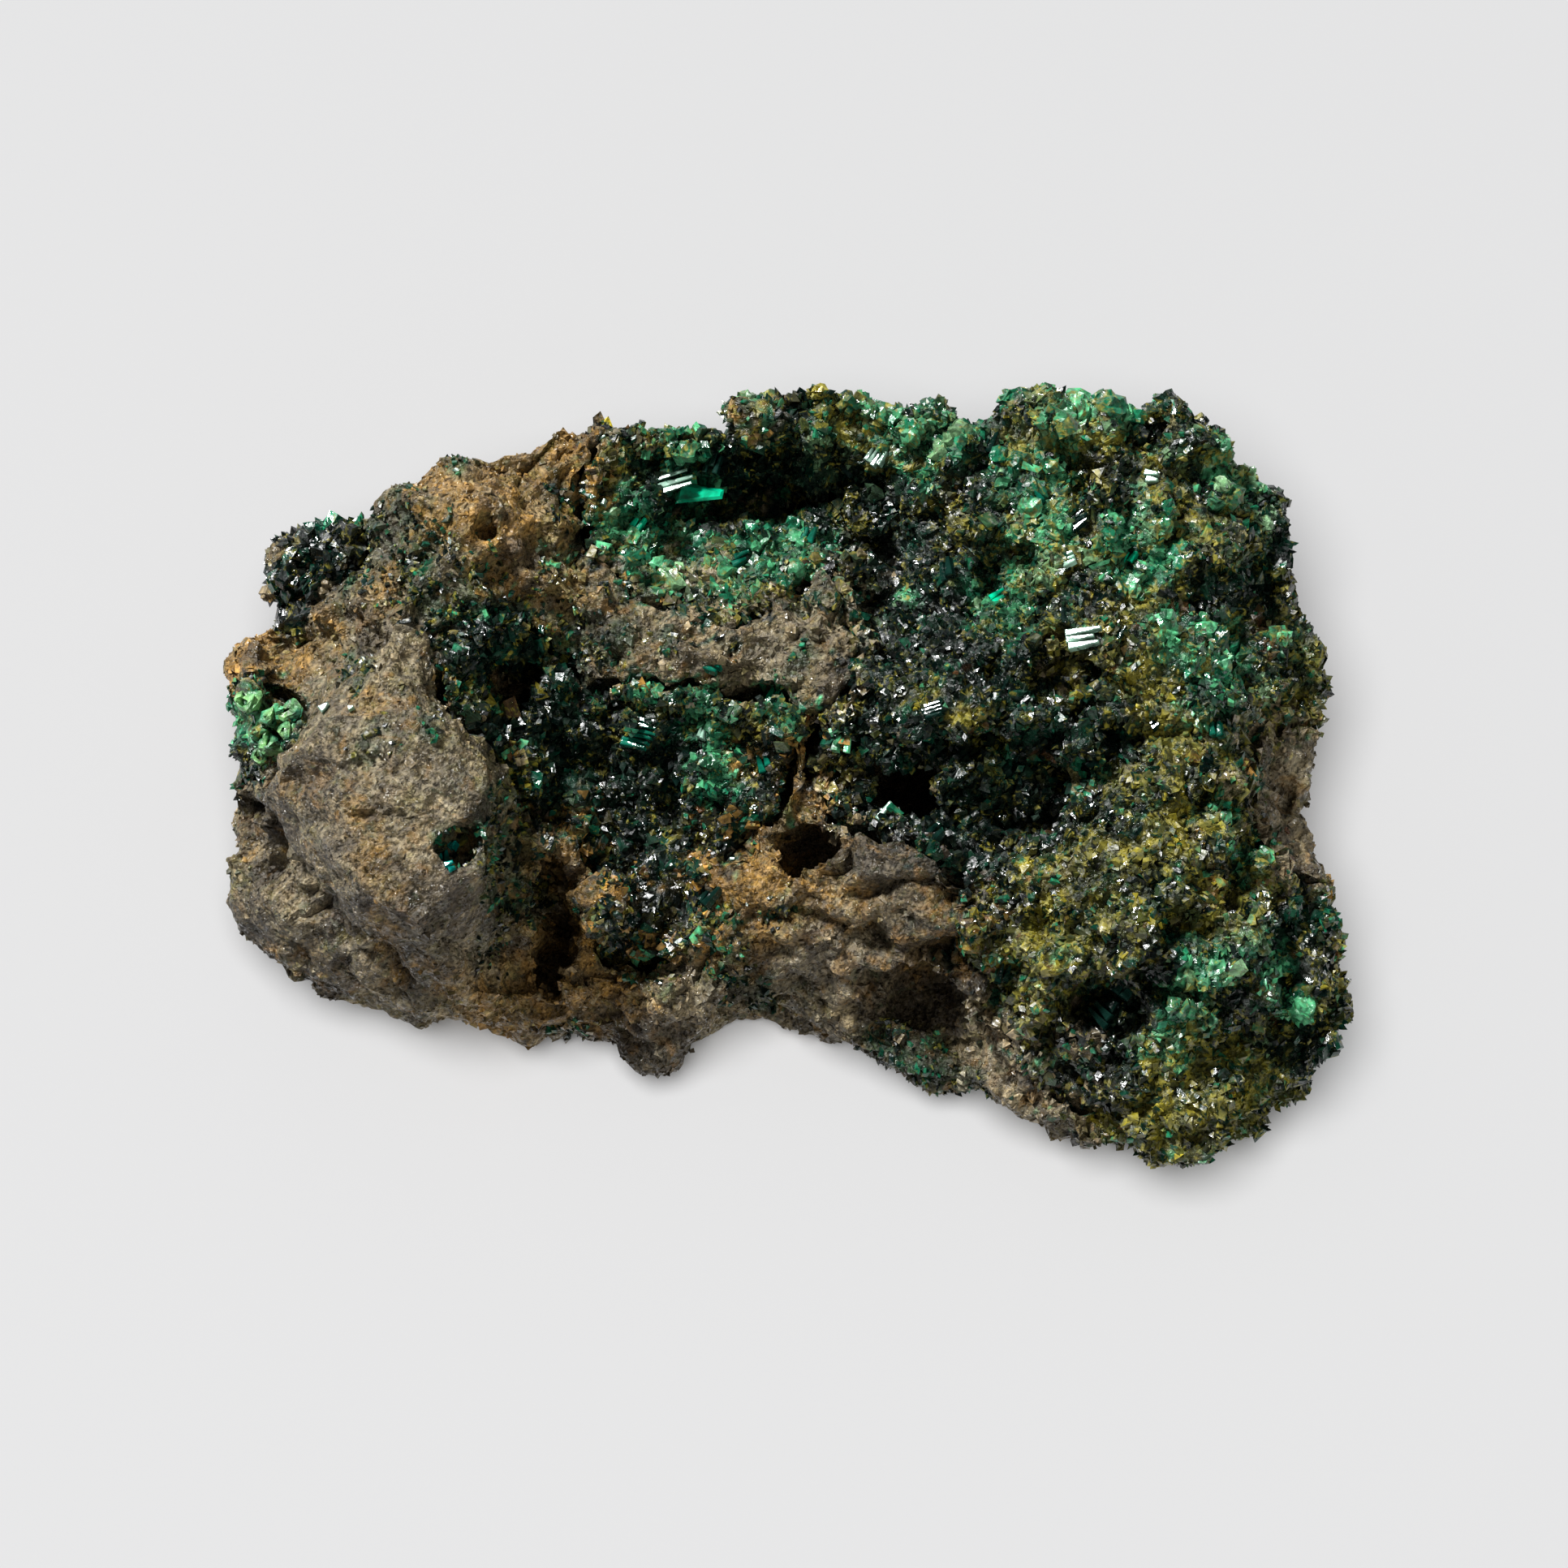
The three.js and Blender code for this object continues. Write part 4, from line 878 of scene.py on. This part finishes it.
def blade(length, width, depth, foot, root):
    """A narrow blade along X, with a chisel end and its broad face up. The root moves its scaled foot."""
    shape = bmesh.new()
    bmesh.ops.create_cube(shape, size=1)
    bmesh.ops.scale(shape, verts=shape.verts, vec=(length, width, depth))
    end = [v for v in shape.verts if v.co.x > 0]
    bmesh.ops.scale(shape, verts=end, vec=(1, 0.45, 1))
    low = [v for v in shape.verts if v.co.z < 0]
    bmesh.ops.scale(shape, verts=low, vec=(foot, foot, 1))
    bmesh.ops.translate(shape, verts=low, vec=root)
    edges = [e for e in shape.edges if e.verts[0].co.z > 0 and e.verts[1].co.z > 0]
    bmesh.ops.bevel(
        shape, geom=edges, offset=width * 0.15, segments=1, profile=0.5, affect="EDGES", material=-1
    )
    return shape


def add_shape(whole, shape):
    """Adds one shape to the whole, and frees it."""
    part = bpy.data.meshes.new("part")
    shape.to_mesh(part)
    shape.free()
    whole.from_mesh(part)
    bpy.data.meshes.remove(part)


def piece_of(name, whole, tints):
    """The finished piece of a whole made of many shapes, with a tint for each vertex."""
    mesh = bpy.data.meshes.new(name)
    whole.to_mesh(mesh)
    whole.free()
    store_tint(mesh, np.array(tints))
    move_vertices(mesh, vertex_arrays(mesh)[0])
    piece = bpy.data.objects.new(name, mesh)
    bpy.context.scene.collection.objects.link(piece)
    print(name, "faces:", len(mesh.polygons))
    return piece


def large_crystals(name, bundles, seed):
    """Bundles of blades at their places in the picture, as one mesh."""
    rng = np.random.default_rng(seed)
    whole, tints = bmesh.new(), []
    for x, up, length, width, blades, angle, away, tone, *lowest in bundles:
        place, height = first_lit(x, up, *lowest or (0,))
        facing = ((KEY - place).normalized() + (camera.location - place).normalized()).normalized()
        slant = math.radians(angle)
        along = Vector((math.cos(slant), 0, 0)) + upwards * math.sin(slant)
        along = (along - facing * along.dot(facing)).normalized()
        facing.rotate(Matrix.Rotation(math.radians(away) * rng.choice((-1, 1)), 3, along))
        across = facing.cross(along)
        for i in range(blades):
            size = length * MM * rng.uniform(0.75, 1.1)
            tilt = Matrix.Rotation(math.radians(rng.normal(0, 4)), 3, "X")
            turn = Matrix((along, across, facing)).transposed() @ tilt
            root = turn.transposed() @ line_of_sight(x, up) * height * 1.2 * MM
            shape = blade(size, width * MM, 0.5 * MM, 0.3 if height > 1 else 1, root)
            offset = across * (i - (blades - 1) / 2) * width + along * rng.normal(0, 0.12)
            offset += facing * (0.2 * width + 0.1 * length + rng.normal(0, 0.04))
            matrix = Matrix.Translation(place + offset * MM) @ turn.to_4x4()
            bmesh.ops.transform(shape, verts=shape.verts, matrix=matrix)
            tints += [CLEAR_TONES[tone]] * len(shape.verts)
            add_shape(whole, shape)
    bmesh.ops.triangulate(whole, faces=whole.faces)
    return piece_of(name, whole, tints)


on_rock = [bundle for bundle in BUNDLES if bundle[0] < -18]
crystals["matrix_rock"].append(large_crystals("rock_large_crystals", on_rock, 31))
crystals["main_druse"].append(large_crystals("large_crystals", [b for b in BUNDLES if b not in on_rock], 32))

# %% [markdown]
# On the left edge the jade has grown in small uneven rings. Each is a circle spun round an axis, with one to
# three of them in a stack that narrows a little upwards. Two noises then bend them, and a third one picks
# between a deep and a pale green for every vertex.

# %% The jade rings
RING_DEEP = np.array((0.02, 0.15, 0.075))
RING_PALE = np.array((0.19, 0.4, 0.14))
RINGS = [
    # right, up, radius, rings in the stack
    (-30.8, 4.8, 0.75, 2), (-29.6, 3.8, 0.6, 2), (-28.5, 4.1, 0.85, 2), (-29.4, 2, 1.05, 3),
    (-28.6, 3, 0.65, 2), (-30.2, 2.8, 0.55, 1), (-30, 4.5, 0.5, 1), (-29, 4.9, 0.5, 1),
    (-30.1, 1.4, 0.5, 2), (-28.1, 3.3, 0.45, 1),
]


def ring(radius, thickness, height):
    """A round bar bent into a ring about Z."""
    shape = bmesh.new()
    made = bmesh.ops.create_circle(shape, segments=8, radius=thickness)
    bmesh.ops.rotate(shape, verts=made["verts"], matrix=Matrix.Rotation(math.pi / 2, 3, "X"))
    bmesh.ops.translate(shape, verts=made["verts"], vec=(radius, 0, height))
    geometry = list(shape.verts) + list(shape.edges)
    bmesh.ops.spin(
        shape, geom=geometry, cent=(0, 0, 0), axis=(0, 0, 1), angle=2 * math.pi, steps=14, use_merge=True
    )
    bmesh.ops.recalc_face_normals(shape, faces=shape.faces)
    return shape


def jade_rings():
    """Stacks of uneven rings at their places in the picture, as one mesh."""
    rng = np.random.default_rng(41)
    whole, tints = bmesh.new(), []
    for x, up, radius, stack in RINGS:
        place = first_seen(x, up)
        facing = (Vector((-0.35, 0.25, 0) + rng.normal(0, 0.22, 3)) + backwards).normalized()
        turn = facing.to_track_quat("Z", "Y").to_matrix()
        for level in range(stack):
            size = radius * (1 - 0.15 * level) * MM
            shape = ring(size * 0.66, size * rng.uniform(0.24, 0.34), (level * 0.35 - 0.15) * MM)
            bmesh.ops.scale(shape, verts=shape.verts, vec=(1, rng.uniform(0.7, 1), 1.3))
            bmesh.ops.rotate(shape, verts=shape.verts, matrix=Matrix.Rotation(rng.uniform(0, 3), 3, "Z"))
            matrix = Matrix.Translation(place) @ turn.to_4x4()
            bmesh.ops.transform(shape, verts=shape.verts, matrix=matrix)
            for vertex in shape.verts:
                vertex.co += noise.noise_vector(vertex.co / (0.8 * MM)) * 0.4 * MM
                vertex.co += noise.noise_vector(vertex.co / (0.35 * MM)) * 0.2 * MM
                share = np.clip(0.5 + 1.3 * noise.noise(vertex.co / (0.7 * MM)), 0, 1)
                tints.append(RING_DEEP * (1 - share) + RING_PALE * share)
            add_shape(whole, shape)
    return piece_of("jade_rings", whole, tints)


crystals["edge_rosettes"].append(jade_rings())

# %% [markdown]
# The finishes share a small class of helpers. Each method adds one node or two and gives back its output, so
# that a finish reads like a sum. All sizes are millimetres, because the Object coordinates are scaled first.

# %% Shared nodes
class Nodes:
    """Short ways to add the nodes that the finishes below share."""

    def __init__(self, tree):
        self.tree = tree
        coordinates = tree.nodes.new("ShaderNodeTexCoord")
        mapping = tree.nodes.new("ShaderNodeMapping")
        mapping.inputs["Scale"].default_value = (1 / MM, 1 / MM, 1 / MM)
        tree.links.new(coordinates.outputs["Object"], mapping.inputs["Vector"])
        self.millimetres = mapping.outputs["Vector"]

    def attribute(self, name, output="Fac"):
        made = self.tree.nodes.new("ShaderNodeAttribute")
        made.attribute_name = name
        return made.outputs[output]

    def noise(self, size, detail=4, distortion=0.0):
        made = self.tree.nodes.new("ShaderNodeTexNoise")
        self.tree.links.new(self.millimetres, made.inputs["Vector"])
        made.inputs["Scale"].default_value = 1 / size
        made.inputs["Detail"].default_value = detail
        made.inputs["Distortion"].default_value = distortion
        return made.outputs["Fac"]

    def cells(self, size, output="Color"):
        made = self.tree.nodes.new("ShaderNodeTexVoronoi")
        self.tree.links.new(self.millimetres, made.inputs["Vector"])
        made.inputs["Scale"].default_value = 1 / size
        return made.outputs[output]

    def ramp(self, value, start, end, low=0.0, high=1.0):
        """The value, stretched so that start to end becomes low to high."""
        made = self.tree.nodes.new("ShaderNodeMapRange")
        self.tree.links.new(value, made.inputs["Value"])
        made.inputs["From Min"].default_value = start
        made.inputs["From Max"].default_value = end
        made.inputs["To Min"].default_value = low
        made.inputs["To Max"].default_value = high
        return made.outputs["Result"]

    def maths(self, operation, a, b):
        made = self.tree.nodes.new("ShaderNodeMath")
        made.operation = operation
        for socket, value in zip(made.inputs, (a, b)):
            if isinstance(value, (int, float)):
                socket.default_value = value
            else:
                self.tree.links.new(value, socket)
        return made.outputs[0]

    def scale_colour(self, colour, amount):
        made = self.tree.nodes.new("ShaderNodeVectorMath")
        made.operation = "SCALE"
        self.tree.links.new(colour, made.inputs[0])
        self.tree.links.new(amount, made.inputs["Scale"])
        return made.outputs["Vector"]

    def mix(self, factor, a, b):
        """Colour a where the factor is 0 and colour b where it is 1."""
        made = self.tree.nodes.new("ShaderNodeMix")
        made.data_type = "RGBA"
        self.tree.links.new(factor, made.inputs["Factor"])
        for socket, value in zip((made.inputs[6], made.inputs[7]), (a, b)):
            if isinstance(value, tuple):
                socket.default_value = (*value, 1)
            else:
                self.tree.links.new(value, socket)
        return made.outputs[2]

    def bump(self, height, strength, distance):
        made = self.tree.nodes.new("ShaderNodeBump")
        made.inputs["Strength"].default_value = strength
        made.inputs["Distance"].default_value = distance
        self.tree.links.new(height, made.inputs["Height"])
        return made.outputs["Normal"]

    def facets(self, normal, size, tilt):
        """Tilts the normal at random from cell to cell, so that each cell looks like one flat face."""
        centred = self.vector("SUBTRACT", self.cells(size), (0.5, 0.5, 0.5))
        tilted = self.vector("MULTIPLY_ADD", centred, (tilt, tilt, tilt), normal)
        return self.vector("NORMALIZE", tilted)

    def vector(self, operation, *values):
        made = self.tree.nodes.new("ShaderNodeVectorMath")
        made.operation = operation
        for socket, value in zip(made.inputs, values):
            if isinstance(value, tuple):
                socket.default_value = value
            else:
                self.tree.links.new(value, socket)
        return made.outputs["Vector"]


# %% [markdown]
# The finishes read the tint that each vertex carries, and add what is finer than the mesh: mottling, a sugary
# bump, small flat faces, and a roughness that changes from grain to grain. The rock is stained dark, ochre
# and olive, and yellow dust lies on the crusts. Brochantite refracts strongly, near 1.75, which is what makes
# its faces flash. Only the large crystals let light through.

# %% The finishes
STAINS = [
    # size, distortion, start, end, strength, colour
    (2.4, 0.6, 0.48, 0.66, 0.7, (0.048, 0.037, 0.026)),
    (1.7, 0.9, 0.57, 0.7, 0.6, (0.21, 0.112, 0.03)),
    (1.1, 1.4, 0.58, 0.7, 0.45, (0.05, 0.07, 0.03)),
]
DARK_DUST = (0.04, 0.045, 0.01)
BRIGHT_DUST = (0.27, 0.235, 0.02)


def surface_finish(name, mottle, roughness, bump, facet, ior, dusty=False, stained=False):
    """A finish that mottles the tint, and gives the surface small bumps and small flat faces."""
    material, tree, surface = shader(name)
    nodes = Nodes(tree)
    facet_size, facet_tilt = facet
    shade = nodes.ramp(nodes.noise(mottle, 5, 0.4), 0.3, 0.72, 0.3, 1.7)
    shade = nodes.maths("MULTIPLY", shade, nodes.ramp(nodes.noise(mottle * 5, 5), 0.3, 0.7, 0.6, 1.4))
    colour = nodes.scale_colour(nodes.attribute("tint", "Color"), shade)
    polish = nodes.ramp(nodes.cells(facet_size * 1.4), 0.3, 0.65, *roughness)
    if stained:
        for size, distortion, start, end, strength, stain in STAINS:
            where = nodes.ramp(nodes.noise(size, 6, distortion), start, end, 0, strength)
            colour = nodes.mix(where, colour, stain)
    if dusty:
        more = nodes.maths("MULTIPLY", nodes.attribute("dust"), 0.15)
        crumbs = nodes.maths("ADD", nodes.noise(0.6, 6, 1.2), more)
        crumbs = nodes.maths("ADD", crumbs, nodes.ramp(nodes.cells(1.5, "Distance"), 0.2, 0.8, -0.07, 0.05))
        crumbs = nodes.ramp(crumbs, 0.57, 0.7, 0, 0.85)
        dust = nodes.mix(nodes.ramp(nodes.noise(0.9, 4), 0.4, 0.62), DARK_DUST, BRIGHT_DUST)
        colour = nodes.mix(crumbs, colour, dust)
        polish = nodes.maths("MAXIMUM", polish, nodes.maths("MULTIPLY", crumbs, 0.7))
    tree.links.new(colour, surface.inputs["Base Color"])
    tree.links.new(polish, surface.inputs["Roughness"])
    surface.inputs["IOR"].default_value = ior
    hollows = nodes.maths("MULTIPLY", nodes.cells(mottle, "Distance"), -0.7)
    height = nodes.maths("ADD", nodes.noise(mottle / 2, 3), hollows)
    normal = nodes.facets(nodes.bump(height, bump, mottle * MM), facet_size, facet_tilt)
    tree.links.new(normal, surface.inputs["Normal"])
    return material


FINISHES = {
    "rock": surface_finish("gossan_rock", 0.3, (0.06, 0.8), 0.8, (0.2, 1.1), 1.6, stained=True),
    "grains": surface_finish("sugary_grains", 0.25, (0.06, 0.7), 0.3, (0.22, 0.7), 1.6, stained=True),
    "bed": surface_finish("crystal_bed", 0.35, (0.2, 0.6), 0.8, (0.3, 1.0), 1.7, dusty=True),
    "crystals": surface_finish("brochantite_crystal", 0.4, (0.12, 0.44), 0.2, (0.35, 0.3), 1.75, dusty=True),
    "rings": surface_finish("milky_jade", 0.35, (0.25, 0.5), 0.3, (0.3, 0.15), 1.6),
    "large": surface_finish("clear_brochantite", 0.8, (0.05, 0.12), 0.05, (0.6, 0.02), 1.75),
}
FINISHES["large"].node_tree.nodes["Principled BSDF"].inputs["Transmission Weight"].default_value = 0.25


def tint_surface(piece, odds, other_odds, other_tree, seed, evenness):
    """Gives the rock or a bed its tones and its dust."""
    places, _ = vertex_arrays(piece.data)
    rng = np.random.default_rng(seed)
    store_tint(piece.data, surface_tones(places, odds, other_odds, other_tree, rng, evenness))
    store_dust(piece.data, places)


tint_surface(rock, ROCK_ODDS, CRUST_ODDS, bed_tree, 21, 0.6)
rock.data.materials.append(FINISHES["rock"])
for bed in (main, central, beds["edge_rosettes"]):
    tint_surface(bed, CRUST_ODDS, ROCK_ODDS, rock_tree, 22, 0.2)
    bed.data.materials.append(FINISHES["bed"])
tint_surface(spray, ROCK_ODDS, ROCK_ODDS, rock_tree, 23, 0.6)
spray.data.materials.append(FINISHES["rock"])
OTHER_FINISHES = {
    "rock_grains": "grains",
    "back_grains": "grains",
    "jade_rings": "rings",
    "large_crystals": "large",
    "rock_large_crystals": "large",
}
for pieces in crystals.values():
    for piece in pieces:
        finish = OTHER_FINISHES.get(piece.name, "crystals")
        piece.data.materials.append(FINISHES[finish])
print("finishes:", ", ".join(FINISHES))

# %% [markdown]
# Every piece rides on the specimen's only body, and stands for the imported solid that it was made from.

# %% Handing the pieces to the frame
carriers = {"matrix_rock": rock, **beds}
for node_name, carrier in carriers.items():
    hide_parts(node_name)
    for piece in [carrier, *crystals[node_name]]:
        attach(piece, "root")
